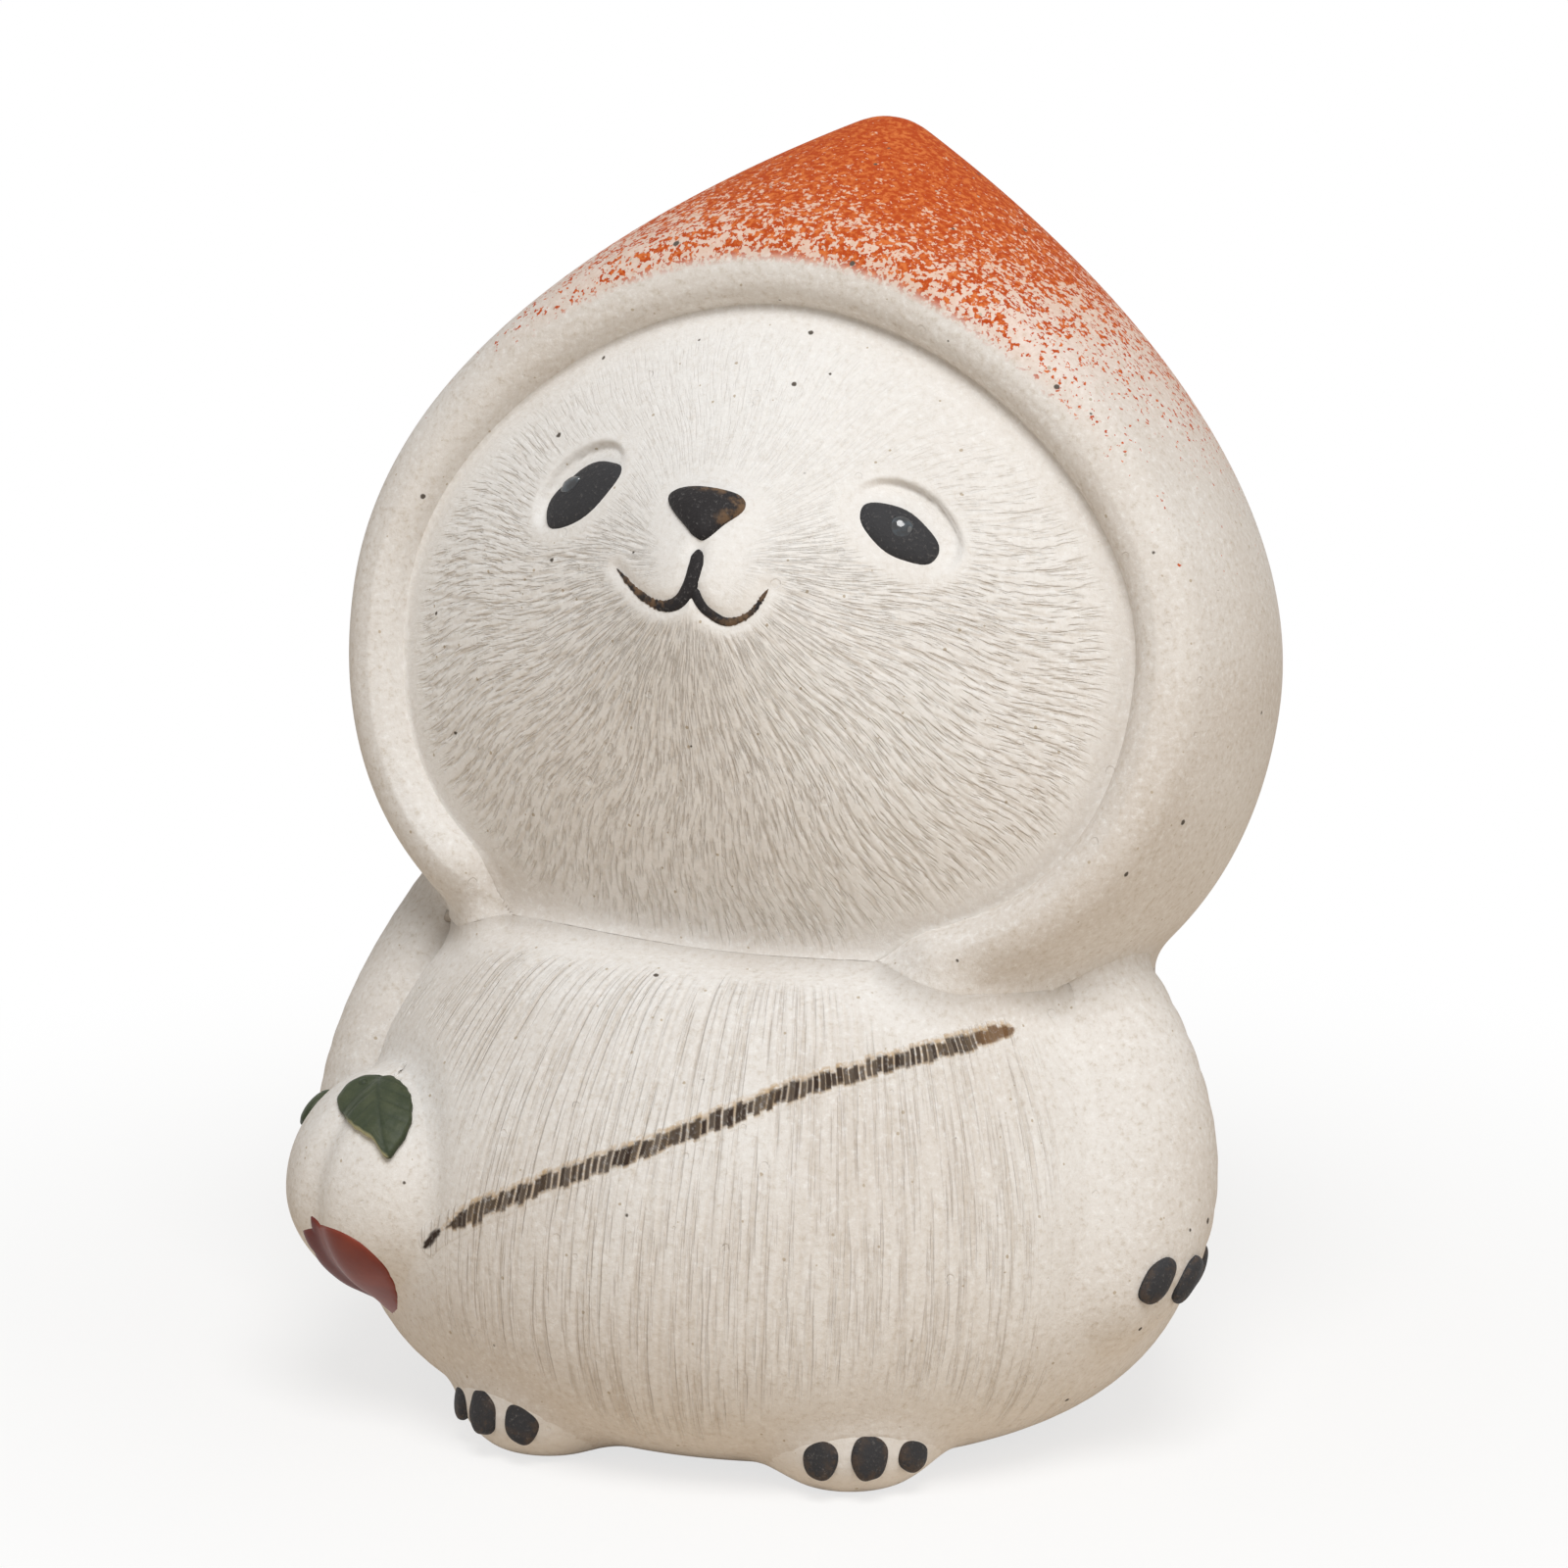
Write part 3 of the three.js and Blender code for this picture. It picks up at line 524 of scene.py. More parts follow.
stoneware = clay("speckled stoneware")
combedClay = clay("combed stoneware", pale=0.16, combed=0.18, haired=0.24, seamShaded=True)
hoodClay = clay("sprayed stoneware", sprayed=True)
faceSlip = clay("pale face slip", pale=0.5, combed=0.18, haired=0.24, edged=True)
footSlip = clay("pale foot slip", pale=0.6)
strapSlip = clay("brushed brown slip", pale=0.16, haired=0.24, brushed=True)

# Gritty black clay, worn brown where it stands out; on the nose the brown on its upper right edge is also a
# painted highlight
blackSet = {
    "body": (0.022, 0.020, 0.021), "charcoal": (0.038, 0.038, 0.041), "grit": (0.10, 0.095, 0.095),
    "worn": (0.17, 0.105, 0.06), "shine": {"Roughness": 0.6, "Specular IOR Level": 0.15},
    "bend": (3000, 0.0001), "grain": (4200, 3, 0.65), "grainTone": (0.56, 0.72), "bump": (0.6, 0.00015),
    "patch": (1300, 3, 0.6), "patchTone": (0.42, 0.62),
}


def blackClay(name, wear, body):
    material, tree, coords = startMaterial(name, blackSet["shine"])
    bent = warped(tree, coords, *blackSet["bend"])
    grain = noise(tree, bent, *blackSet["grain"])
    colour = blend(tree, spread(tree, grain, *blackSet["grainTone"]), blackSet[body], blackSet["grit"])
    patch = spread(tree, noise(tree, bent, *blackSet["patch"]), *blackSet["patchTone"])
    worn = times(tree, times(tree, attribute(tree, "worn"), patch), wear)
    colour = blend(tree, worn, colour, blackSet["worn"])
    return dressed(material, colour, bump(tree, grain, *blackSet["bump"]))


eyeClay = blackClay("black eye clay", 0.0, "charcoal")
noseClay = blackClay("black nose clay", 0.9, "body")
clawClay = blackClay("black claw clay", 0.25, "charcoal")
mouthClay = blackClay("black lip clay", 0.8, "body")


def glaze(name, look):  # a clouded body, with layers where the mesh is painted
    material, tree, coords = startMaterial(name, look["shine"])
    tone = spread(tree, noise(tree, coords, *look["cloud"]), *look["tone"])
    colour = blend(tree, tone, look["body"], look["lit"])
    for layer, hue in look["layers"].items():
        colour = blend(tree, attribute(tree, layer), colour, hue)
    return dressed(material, colour, bump(tree, noise(tree, coords, *look["skin"]), *look["bump"]))


# Torso: a turned form that leans back to the neck, hollow, with a vent below
torsoSet = {
    "lower": [(16.5, 0), (23.6, 1.4), (28.4, 5.9), (28.4, 13.9)],
    "upper": [(28.4, 13.9), (28.4, 25.9), (19, 32.5), (14, 36.5)],
    "hollow": [(10, 37), (10, 33), (17, 28), (23.5, 20), (24, 12), (18, 6.5)],
    "width": 56.8, "depth": 49.8, "forward": 2.6, "neckHeight": 36.5, "neckLean": 5, "heart": 14,
    "wall": 4, "vent": 7, "ventEdge": [(0, 3), (0, 0.9), (0.25, 0.3), (0.8, 0)], "flat": 12, "ventBevel": 2,
    "steps": 1200, "trimRound": 4.5, "trimInset": 0.3, "skin": 0.5,
    "ridges": 300, "strokeLength": 6, "combDepth": 0.07, "combSeed": 11,
    "sway": 0.5, "swayHeight": 5, "swayTurns": 3, "combClear": (0.2, 3), "combFoot": (1.5, 4),
    "lines": 400, "lineRun": 0.13,
    # the neck and arm marks are painted shade: darker clay in the neck valley under the chin and along the
    # right arm's crease
    "neckShade": 0.42, "neckShadeHalf": 1.7, "armShade": 0.6, "armShadeHalf": 0.3, "armShadeAhead": (2, 8),
}
torsoSquash = torsoSet["width"] / torsoSet["depth"]
torsoSide = np.vstack([bezier(torsoSet["lower"], 48), bezier(torsoSet["upper"], 64)[1:]])
torsoField = distanceField(np.vstack([[(0, 0)], torsoSide, [(0, torsoSet["neckHeight"])]]), (0, -8), (48, 56))


def torsoCentre(z):
    return torsoSet["neckLean"] * (np.maximum(z, 0) / torsoSet["neckHeight"]) ** 2 - torsoSet["forward"]


def torsoRadius(height):
    return np.interp(height, torsoSide[:, 1], torsoSide[:, 0])


def torsoGap(points):
    local = points.copy()
    local[:, 1] -= torsoCentre(points[:, 2])
    return softMax(turnedGap(local, torsoField, torsoSquash), -roomGap(points), torsoSet["trimRound"])


def roomGap(points):  # the space kept clear in front of the face
    x, y, z = moved(points, faceInverse).T
    return np.maximum(sampleField(outlineField, x, z) + torsoSet["trimInset"], y - faceSet["seat"])


def roundTorso(azimuth, radius, height):
    y = -np.cos(azimuth) * radius / torsoSquash + torsoCentre(height)
    return np.stack([np.sin(azimuth) * radius, y, height + 0 * radius], -1)


def onTorso(azimuth, height, out=0.0):
    height = np.asarray(height, float)
    return roundTorso(np.radians(azimuth), torsoRadius(height) + out, height)


# Head: the peach and the face opening have frames of their own
hoodSet = {
    "chin": [(0, -25.3), (21, -25.3), (30.5, -14.5), (30.5, 0)],
    "width": 61, "depth": 55.7, "crown": 35.1, "crownHandle": 16, "flankHandle": 11.6, "flankAngle": 30.6,
    "pointRadius": 4.6, "tilt": 23.4, "back": 5, "height": 47.7, "wall": 4, "rimRound": 1.8,
    "steps": 480, "lipRings": 22, "shellRings": 142, "innerRings": 14, "crowding": 1.25,
    "rayReach": (5.0, 45.0), "innerSink": 2.9, "innerShare": 0.9, "innerBack": 2.0, "cleanRim": 0.5,
}
faceSet = {
    "width": 53.7, "top": 23.1, "bottom": 20.9, "topHandle": 13.1, "templeHandle": 11.3, "jawHandle": 14.4,
    "bottomHandle": 18.5, "forward": 12.5, "drop": 1.5, "lean": 7.1, "bow": 165, "inset": 1.8,
    "groove": 2.0, "grooveSoft": 0.9, "dome": 8, "topPower": 1.82, "bottomPower": 2.5,
    "muzzle": 3.2, "muzzleRadius": 7.5, "muzzleRise": 3, "middle": (0, 4.2), "seat": 8,
    "lipBead": 1.35, "lipFlat": 0.4, "lipSlope": 0.2, "lipRound": 0.97, "lipFall": 3, "lipSink": 5.5,
    "chinStart": 147, "chinEnd": 135, "chinSpan": 16, "chinReach": 0.8, "edgeInset": 1.1,
    "tuck": 0.8, "tuckRun": 1.5, "steps": 1200, "rings": 74, "crowding": 0.85,
    "tuckedRings": (0.97, 0.0), "tuckedDepth": 4, "nearEdge": 4,
}
headMatrix = (Matrix.Translation((0, hoodSet["back"], hoodSet["height"]))
              @ Matrix.Rotation(math.radians(-hoodSet["tilt"]), 4, "X"))
faceMatrix = (headMatrix @ Matrix.Translation((0, -faceSet["forward"], -faceSet["drop"]))
              @ Matrix.Rotation(math.radians(faceSet["lean"]), 4, "X"))
headInverse, faceInverse = headMatrix.inverted(), faceMatrix.inverted()
faceInHead = headInverse @ faceMatrix
headInFace = faceInHead.inverted()


def peachProfile():
    flank = math.radians(hoodSet["flankAngle"])
    radius, half, top = hoodSet["pointRadius"], hoodSet["width"] / 2, (0, hoodSet["crown"])
    shoulder = np.array((math.sin(flank), math.cos(flank) - 1)) * radius + top
    start = shoulder + np.array((math.cos(flank), -math.sin(flank))) * hoodSet["flankHandle"]
    corner = (radius * math.tan(flank / 2), hoodSet["crown"])
    return np.vstack([
        bezier(hoodSet["chin"], 50),
        bezier([(half, 0), (half, hoodSet["crownHandle"]), start, shoulder], 60)[1:],
        bezier([shoulder, corner, top], 16)[1:],
    ])


hoodField = distanceField(peachProfile(), (0, -45), (50, 50))


def faceOutline(count):
    half, top, bottom = faceSet["width"] / 2, faceSet["top"], faceSet["bottom"]
    temple = [(0, top), (faceSet["topHandle"], top), (half, faceSet["templeHandle"]), (half, 0)]
    jaw = [(half, 0), (half, -faceSet["jawHandle"]), (faceSet["bottomHandle"], -bottom), (0, -bottom)]
    right = np.vstack([bezier(temple, count), bezier(jaw, count)[1:]])
    return np.vstack([right, right[-2:0:-1] * (-1, 1)])


outlinePath = faceOutline(100)
outlineField = distanceField(outlinePath, (-40, -40), (40, 40), 0.2, True)


def faceEdge(angle):  # the outline from the face's middle, by the angle from the top to the cub's left
    path = outlinePath - faceSet["middle"]
    turn = np.arctan2(path[:, 0], path[:, 1]) % math.tau
    order = np.argsort(turn)
    turn, path = turn[order], path[order]
    return np.stack([np.interp(angle % math.tau, turn, way, period=math.tau) for way in path.T], -1)


def faceDepth(x, z):  # how far the face's front lies behind the plane of the opening
    half = faceSet["width"] / 2 - faceSet["inset"]
    power = np.where(z > 0, faceSet["topPower"], faceSet["bottomPower"])
    reach = np.where(z > 0, faceSet["top"], faceSet["bottom"]) - faceSet["inset"]
    oval = ((np.abs(x) / half) ** power + (np.abs(z) / reach) ** power) ** (2 / power)
    away = x ** 2 + (z - faceSet["muzzleRise"]) ** 2
    muzzle = faceSet["muzzle"] * np.exp(-away / faceSet["muzzleRadius"] ** 2)
    return faceSet["groove"] + x ** 2 / 2 / faceSet["bow"] - faceSet["dome"] * (1 - oval) - muzzle


def faceNormal(x, z):
    slopeX, slopeZ = slopes(faceDepth, x, z, 0.1)
    return unit(np.stack([slopeX, -np.ones_like(slopeX), slopeZ], -1))


def lipDepth(inset):  # the lip falls away inside its crest
    bead, most = faceSet["lipBead"], faceSet["lipRound"]
    inner = np.maximum(inset - faceSet["lipFlat"], 0)
    share = np.minimum(inner / bead, most)
    fall = faceSet["lipFall"] * np.maximum(inner - most * bead, 0)
    return faceSet["lipSlope"] * inset + bead * (1 - np.sqrt(1 - share ** 2)) + fall


def chinShare(x, z):  # 1 where the face runs down to the neck and the lip is gone
    angle = np.degrees(np.arctan2(x - faceSet["middle"][0], z - faceSet["middle"][1]))
    start = np.where(angle > 0, faceSet["chinStart"], faceSet["chinEnd"])
    return ramp(np.abs(angle), start, faceSet["chinSpan"])


def lipPlane(x, z):  # depth of the lip's crest
    return x ** 2 / 2 / faceSet["bow"] + faceSet["lipSink"] * chinShare(x, z)


def frontDepth(x, z, groove=1):  # the head's front: the lip, the groove and the dome
    inset = np.maximum(-sampleField(outlineField, x, z), 0)
    return softMin(lipPlane(x, z) + groove * lipDepth(inset), faceDepth(x, z), faceSet["grooveSoft"])


def peachGap(local):
    return turnedGap(local, hoodField, hoodSet["width"] / hoodSet["depth"])


def hoodGap(local):
    x, y, z = moved(local, headInFace).T
    return softMax(peachGap(local), lipPlane(x, z) - y, hoodSet["rimRound"])


def headGap(points, groove=1):
    def depth(x, z):
        return frontDepth(x, z, groove)

    x, y, z = moved(points, faceInverse).T
    slopeX, slopeZ = slopes(depth, x, z, 0.2)
    lid = (depth(x, z) - y) / np.sqrt(1 + slopeX ** 2 + slopeZ ** 2)
    return softMax(peachGap(moved(points, headInverse)), lid, hoodSet["rimRound"])


def frontOf(x, z):  # where the head's skin lies, straight behind a place in the face's frame
    def inside(y):
        return headGap(moved(np.stack([x, y, z], -1), faceMatrix)) < 0

    low = frontDepth(x, z) - 1
    return halve(low, low + 9, 24, inside)[1]


# Arms, feet and satchel as forms that the others are luted to
# azimuth, height, depth under the torso's skin and radius, from the shoulder to the hand
armSet = {1: [(88, 27.5, 3.6, 5.5), (84, 18.3, 4.3, 7.0), (74, 12.4, 3.2, 5.2)],
          -1: [(-96, 28.3, 2.5, 6.3), (-81, 19.5, 4.0, 6.5), (-74, 13, 3.4, 4.8)]}
footSet = {"size": (10, 8.4, 6.6), "height": 2.8, "azimuth": 30.6, "turn": 3.8, "sunk": 2.2, "soleRound": 0.5}
satchelSet = {"width": 17.2, "height": 16.6, "point": 0.5, "azimuth": -52.6, "centreHeight": 14.8, "sunk": 4,
              "cleft": -31, "cleftDepth": 0.6, "cleftHalf": 9}


def armLine(side, t):
    stations = armSet[side]
    shares = np.stack([(1 - t) * (1 - 2 * t), 4 * t * (1 - t), t * (2 * t - 1)], -1)
    places = np.array([onTorso(azimuth, height, -sunk) for azimuth, height, sunk, radius in stations])
    return shares @ places, shares @ np.array([station[3] for station in stations])


def armGap(side):
    centres, radii = armLine(side, np.linspace(0, 1, 13))

    def gap(points):
        best = np.full(len(points), 1e3)
        for a, b, thick, thin in zip(centres, centres[1:], radii, radii[1:]):
            run = b - a
            share = np.clip((points - a) @ run / (run @ run), 0, 1)
            away = np.linalg.norm(points - a - share[:, None] * run, axis=1)
            best = np.minimum(best, away - thick - (thin - thick) * share)
        return best

    return gap


def footMatrix(side):
    azimuth = side * footSet["azimuth"] + footSet["turn"]
    centre = onTorso(azimuth, footSet["height"], -footSet["sunk"])
    return Matrix.Translation(centre) @ Matrix.Rotation(math.radians(azimuth), 4, "Z")


def footGap(side):
    inverse = footMatrix(side).inverted()
    radii = np.array(footSet["size"]) / 2

    def gap(points):
        local = moved(points, inverse)
        whole = np.linalg.norm(local / radii, axis=1)
        slope = np.linalg.norm(local / radii ** 2, axis=1)
        return whole * (whole - 1) / np.maximum(slope, 1e-6)

    return gap


satchelCentre = onTorso(satchelSet["azimuth"], satchelSet["centreHeight"], -satchelSet["sunk"])


def satchelReach(towards):
    level = np.hypot(towards[:, 0], towards[:, 1])
    up = towards[:, 2]
    ball = 1 / np.hypot(2 * level / satchelSet["width"], 2 * up / satchelSet["height"])
    turn = np.degrees(np.arctan2(towards[:, 0], -towards[:, 1]))
    away = (turn - satchelSet["cleft"] + 180) % 360 - 180
    cleft = satchelSet["cleftDepth"] * level * bell(away, satchelSet["cleftHalf"])
    return ball - cleft - satchelSet["point"] * (2 * np.maximum(-up, 0) * level) ** 2


def satchelGap(points):
    away = points - satchelCentre
    distance = np.maximum(np.linalg.norm(away, axis=1), 1e-6)
    return distance - satchelReach(away / distance[:, None])


leftArmGap, rightArmGap = armGap(1), armGap(-1)
leftFootGap, rightFootGap = footGap(1), footGap(-1)
print("forms measured")


def upright(azimuth, height):  # places for lines that run up the torso, round its axis
    around = torsoSet["lines"] / math.tau
    return np.stack([np.sin(azimuth) * around, np.cos(azimuth) * around, height * torsoSet["lineRun"]], -1)


def torsoProfile():
    wall, vent = torsoSet["wall"], torsoSet["vent"]
    outer = np.vstack([np.array(torsoSet["ventEdge"]) + (vent, 0), [(torsoSet["flat"], 0)],
                       bezier(torsoSet["lower"], 22), bezier(torsoSet["upper"], 44)[1:]])
    sill = [(vent + torsoSet["ventBevel"], wall), (vent, wall)]
    return np.vstack([outer, torsoSet["hollow"], sill, outer[:1]])


def makeTorso():
    profile = torsoProfile()
    mesh, azimuth, row = rolledMesh("torso", len(profile), torsoSet["steps"])
    setPoints(mesh, roundTorso(azimuth, *profile[row].T))
    closeMesh(mesh)
    points = pointsOf(mesh)
    height = points[:, 2]
    depth = (points[:, 1] - torsoCentre(height)) * torsoSquash
    azimuth = np.arctan2(points[:, 0], -depth)
    skin = np.hypot(points[:, 0], depth) > torsoRadius(height) - torsoSet["skin"]
    heart = np.array((0, torsoCentre(torsoSet["heart"]), torsoSet["heart"]))
    level = np.where(skin, 0, -1)

    def trimmed(share):  # the neck is drawn in under the face, towards the torso's middle
        return torsoGap(heart + (points - heart) * share[:, None]) > level

    low = halve(np.full(len(points), 0.2), np.ones(len(points)), 22, trimmed)[0]
    drawn = smooth(torsoGap(points) / 0.1 - level / 0.1)
    setPoints(mesh, heart + (points - heart) * (1 - (1 - low) * drawn)[:, None])
    clear = lute(mesh, torsoGap, [
        (headGap, luteSoft["neck"]), (leftArmGap, luteSoft["leftArm"]), (rightArmGap, luteSoft["rightArm"]),
        (leftFootGap, luteSoft["foot"]), (rightFootGap, luteSoft["foot"]), (satchelGap, luteSoft["satchel"]),
    ])
    press(mesh, rightArmGap, *seamSet["rightArm"])
    press(mesh, satchelGap, *seamSet["satchel"])
    sway = torsoSet["sway"] * np.sin(height / torsoSet["swayHeight"] + torsoSet["swayTurns"] * azimuth)
    ridges = torsoSet["ridges"]
    across = azimuth / math.tau * ridges + sway
    comb = strokes(across, height / torsoSet["strokeLength"], ridges, torsoSet["combSeed"])
    fading = ramp(clear, *torsoSet["combClear"]) * ramp(height, *torsoSet["combFoot"]) * skin
    sink(mesh, comb * fading * torsoSet["combDepth"])
    points = pointsOf(mesh)
    # painted shade: the clay is darkened in the neck valley under the chin and along the front of the right
    # arm's crease
    neckShade = torsoSet["neckShade"] * bell(headGap(points), torsoSet["neckShadeHalf"])
    turn, level = np.array(armSet[-1])[::-1, :2].T
    ahead = np.degrees(azimuth) - np.interp(points[:, 2], level, turn)  # of the right arm's middle
    armShade = torsoSet["armShade"] * bell(rightArmGap(points), torsoSet["armShadeHalf"])
    seam = np.maximum(neckShade, armShade * ramp(ahead, *torsoSet["armShadeAhead"]))
    paint(mesh, seam=seam, comb=comb * fading, hair=fading, polar=upright(azimuth, height))
    finishedSkin = skinOf(mesh)
    finish(mesh, "torso_clay", "body_shell", "stoneware", combedClay)
    return finishedSkin


torsoSkin = makeTorso()


def makeHood():
    inner, lip, shell = hoodSet["innerRings"], hoodSet["lipRings"], hoodSet["shellRings"]
    ways = np.concatenate([np.linspace(0, 1, inner, endpoint=False), np.linspace(1, 2, lip, endpoint=False),
                           2 + np.linspace(0, 1, shell + 1) ** hoodSet["crowding"]])
    mesh, angle, row = rolledMesh("hood", len(ways), hoodSet["steps"])
    way = ways[row]
    place = faceEdge(angle) + faceSet["middle"]
    normal = unit(np.stack([sampleField(outlineField, *(place + step).T)
                            - sampleField(outlineField, *(place - step).T) for step in np.eye(2) * 0.4], -1))
    crestDepth = frontDepth(*place.T)
    back = np.array((0.0, 1.0, 0.0))

    def onShell(start, share, form):  # from the crest round to the back
        ray = unit(start)
        turn = np.arccos(np.clip(ray @ back, -1, 1))[:, None]
        share = share[:, None]
        ray = (np.sin((1 - share) * turn) * ray + np.sin(share * turn) * back) / np.sin(turn)
        ends = [np.full(len(ray), reach) for reach in hoodSet["rayReach"]]
        return ray * halve(*ends, 26, lambda reach: form(ray * reach[:, None]) > 0)[0][:, None]

    def outerForm(local):  # with the groove filled, so that no ray leaves it early
        return headGap(moved(local, headMatrix), 0)

    def innerForm(local):
        return hoodGap(local) + hoodSet["wall"]

    def crestForm(local):
        return softMax(peachGap(local), crestDepth - moved(local, headInFace)[:, 1], hoodSet["rimRound"])

    crest = moved(np.stack([place[:, 0], crestDepth, place[:, 1]], -1), faceInHead)
    crest = onShell(crest, np.zeros(len(crest)), crestForm)
    crestFace = moved(crest, headInFace)
    points = crest.copy()
    outside, inside = way >= 2, way < 1
    points[outside] = onShell(crest[outside], way[outside] - 2, outerForm)
    onLip = ~inside & ~outside
    inset = (2 - way) * hoodSet["innerSink"]
    x, z = (crestFace[:, [0, 2]] - normal * inset[:, None])[onLip].T
    rim, dome = crestFace[onLip, 1] + lipDepth(inset[onLip]), faceDepth(x, z)
    soft = faceSet["grooveSoft"] * (1 - chinShare(x, z)) + 0.05
    depth = softMin(rim, dome, soft) + faceSet["tuck"] * ramp(rim, dome, faceSet["tuckRun"])
    points[onLip] = moved(np.stack([x, depth, z], -1), faceInHead)
    start = points[inside] * hoodSet["innerShare"] + (0, hoodSet["innerBack"], 0)
    points[inside] = onShell(start, 1 - way[inside], innerForm)
    setPoints(mesh, moved(points, headMatrix))
    fromRim = np.where(outside, np.linalg.norm(points - crest, axis=1), 0)
    paint(mesh, sprayed=ramp(fromRim, hoodSet["cleanRim"], 2 * hoodSet["cleanRim"]))
    closeMesh(mesh)
    armNeck = luteSoft["armNeck"]
    lute(mesh, headGap, [(torsoGap, luteSoft["neck"]), (leftArmGap, armNeck), (rightArmGap, armNeck)])
    finish(mesh, "hood_clay", "hood_shell", "stoneware", hoodClay)


makeHood()

# Face: a dome with a muzzle, combed outwards from the nose
# each ring of strokes has a share of their number, and starts and ends so far from the middle
combSet = {"depth": 0.1, "strokes": 312, "strokeLength": 1.3, "hairs": 80, "hairLength": 0.7, "seed": 21,
           "rings": ((4, 0, 9), (2, 7, 17), (1, 13, 60)), "forehead": 0.22, "cheeks": (0.15, 0.4),
           "nose": (2.2, 4), "fromEdge": 2.6, "fromChin": 1.0, "edgeRun": 2.0, "slipEdge": (1.0, 3.0),
           "sway": 0.25, "swayRun": 2.3, "swayTurns": 11, "ringShift": 7, "fadeIn": 3, "fadeOut": -4,
           "hairBend": 0.02, "hairBendRun": 1.7}
# face places are across to the cub's left and up from the middle of the opening
eyeSet = {
    1: {"middle": (10.9, 7.35), "size": (5.8, 3.2, 1.6), "slant": 36,
        "pupil": (11.0, 7.65), "bead": (1.5, 1.45, 0.8)},
    -1: {"middle": (-10.7, 7.9), "size": (6.5, 3.9, 1.6), "slant": 43,
         "pupil": (-11.5, 8.35), "bead": (1.6, 1.0, 0.7)},
}
socketSet = {"depth": 0.7, "long": 4.0, "high": 2.5, "up": 0.45, "browStart": -0.6, "browRun": 1.3,
             "round": 0.3, "clear": -0.8}
noseSet = {"middle": (-0.75, 7.4), "standOut": 0.8, "flatness": 0.75, "wide": 1.3, "clear": (2.2, 1.5),
           # the turn of the nose's worn brown, which also stands for a painted highlight on its upper right
           # edge
           "wornTurn": 0.75,
           "outline": [(-0.1, 5.6), (1.0, 6.7), (1.9, 7.75), (1.35, 8.6), (-1.1, 8.9), (-2.9, 8.6),
                       (-3.4, 7.85), (-1.75, 6.5)]}
mouthSet = {"cut": 0.28, "ridge": 0.04, "half": 0.5, "clear": (0.5, 1.2), "middle": (-1.0, 2.8), "reach": 9,
            "stops": 90, "sides": 12, "sunk": 0.22, "flatness": 0.55, "ends": 14, "dry": 0.5,
            "dryRun": (0.45, 0.4), "worn": (0.6, 2), "seed": 45,
            "left": [(-0.27, 5.0), (-0.2, 3.9), (-0.45, 2.5), (-1.15, 1.55), (-2.45, 1.3), (-4.25, 1.95),
                     (-6.4, 3.35)],
            "leftWidth": (0.85, 1.05, 1.05, 0.95, 0.8, 0.6, 0.35),
            "right": [(-0.15, 2.6), (0.35, 1.75), (1.0, 1.15), (2.2, 0.7), (3.5, 1.4), (4.35, 3.0)],
            "rightWidth": (0.7, 0.65, 0.6, 0.6, 0.5, 0.35)}


def mouthLines():  # each curl's places, and how broad the line is there
    lines, stops = [], mouthSet["stops"]
    for side in ("left", "right"):
        widths = mouthSet[side + "Width"]
        breadth = np.interp(np.linspace(0, 1, stops), np.linspace(0, 1, len(widths)), widths)
        lines.append((throughPoints(mouthSet[side], stops), breadth))
    return lines


def eyeLocal(side, x, z):  # along the eye, and up across it
    turn = math.radians(-side * eyeSet[side]["slant"])
    dx, dz = x - eyeSet[side]["middle"][0], z - eyeSet[side]["middle"][1]
    return dx * math.cos(turn) + dz * math.sin(turn), dz * math.cos(turn) - dx * math.sin(turn)


def sockets(x, z):  # how deep the eye sockets are, deepest under the brow, and where the combing stays clear
    depth, clear = 0, 1
    high = socketSet["high"]
    for side in (1, -1):
        along, up = eyeLocal(side, x, z)
        up = up - socketSet["up"]
        oval = 1 - (along / socketSet["long"]) ** 2 - (up / high) ** 2
        brow = ramp(up, socketSet["browStart"] * high, socketSet["browRun"] * high)
        depth = depth + socketSet["depth"] * ramp(oval, 0, socketSet["round"]) * brow
        clear = clear * ramp(oval, 0, socketSet["clear"])
    return depth, clear


def fromMouth(x, z):
    near = np.hypot(x - mouthSet["middle"][0], z - mouthSet["middle"][1]) < mouthSet["reach"]
    away = np.full(len(x), float(mouthSet["reach"]))
    for line, widths in mouthLines():
        for px, pz in line:
            away[near] = np.minimum(away[near], np.hypot(x[near] - px, z[near] - pz))
    return away


def faceStrokes(angle, radius):
    comb = np.zeros(len(angle))
    for ring, (share, start, end) in enumerate(combSet["rings"]):
        count = combSet["strokes"] // share
        sway = np.sin(radius / combSet["swayRun"] + combSet["swayTurns"] * angle + ring)
        across = angle / math.tau * count + combSet["sway"] * sway
        along = radius / combSet["strokeLength"] + combSet["ringShift"] * ring
        cut = strokes(across, along, count, combSet["seed"] + ring)
        fading = ramp(radius, start, combSet["fadeIn"]) * ramp(radius, end, combSet["fadeOut"])
        comb = np.maximum(comb, cut * fading)
    return comb


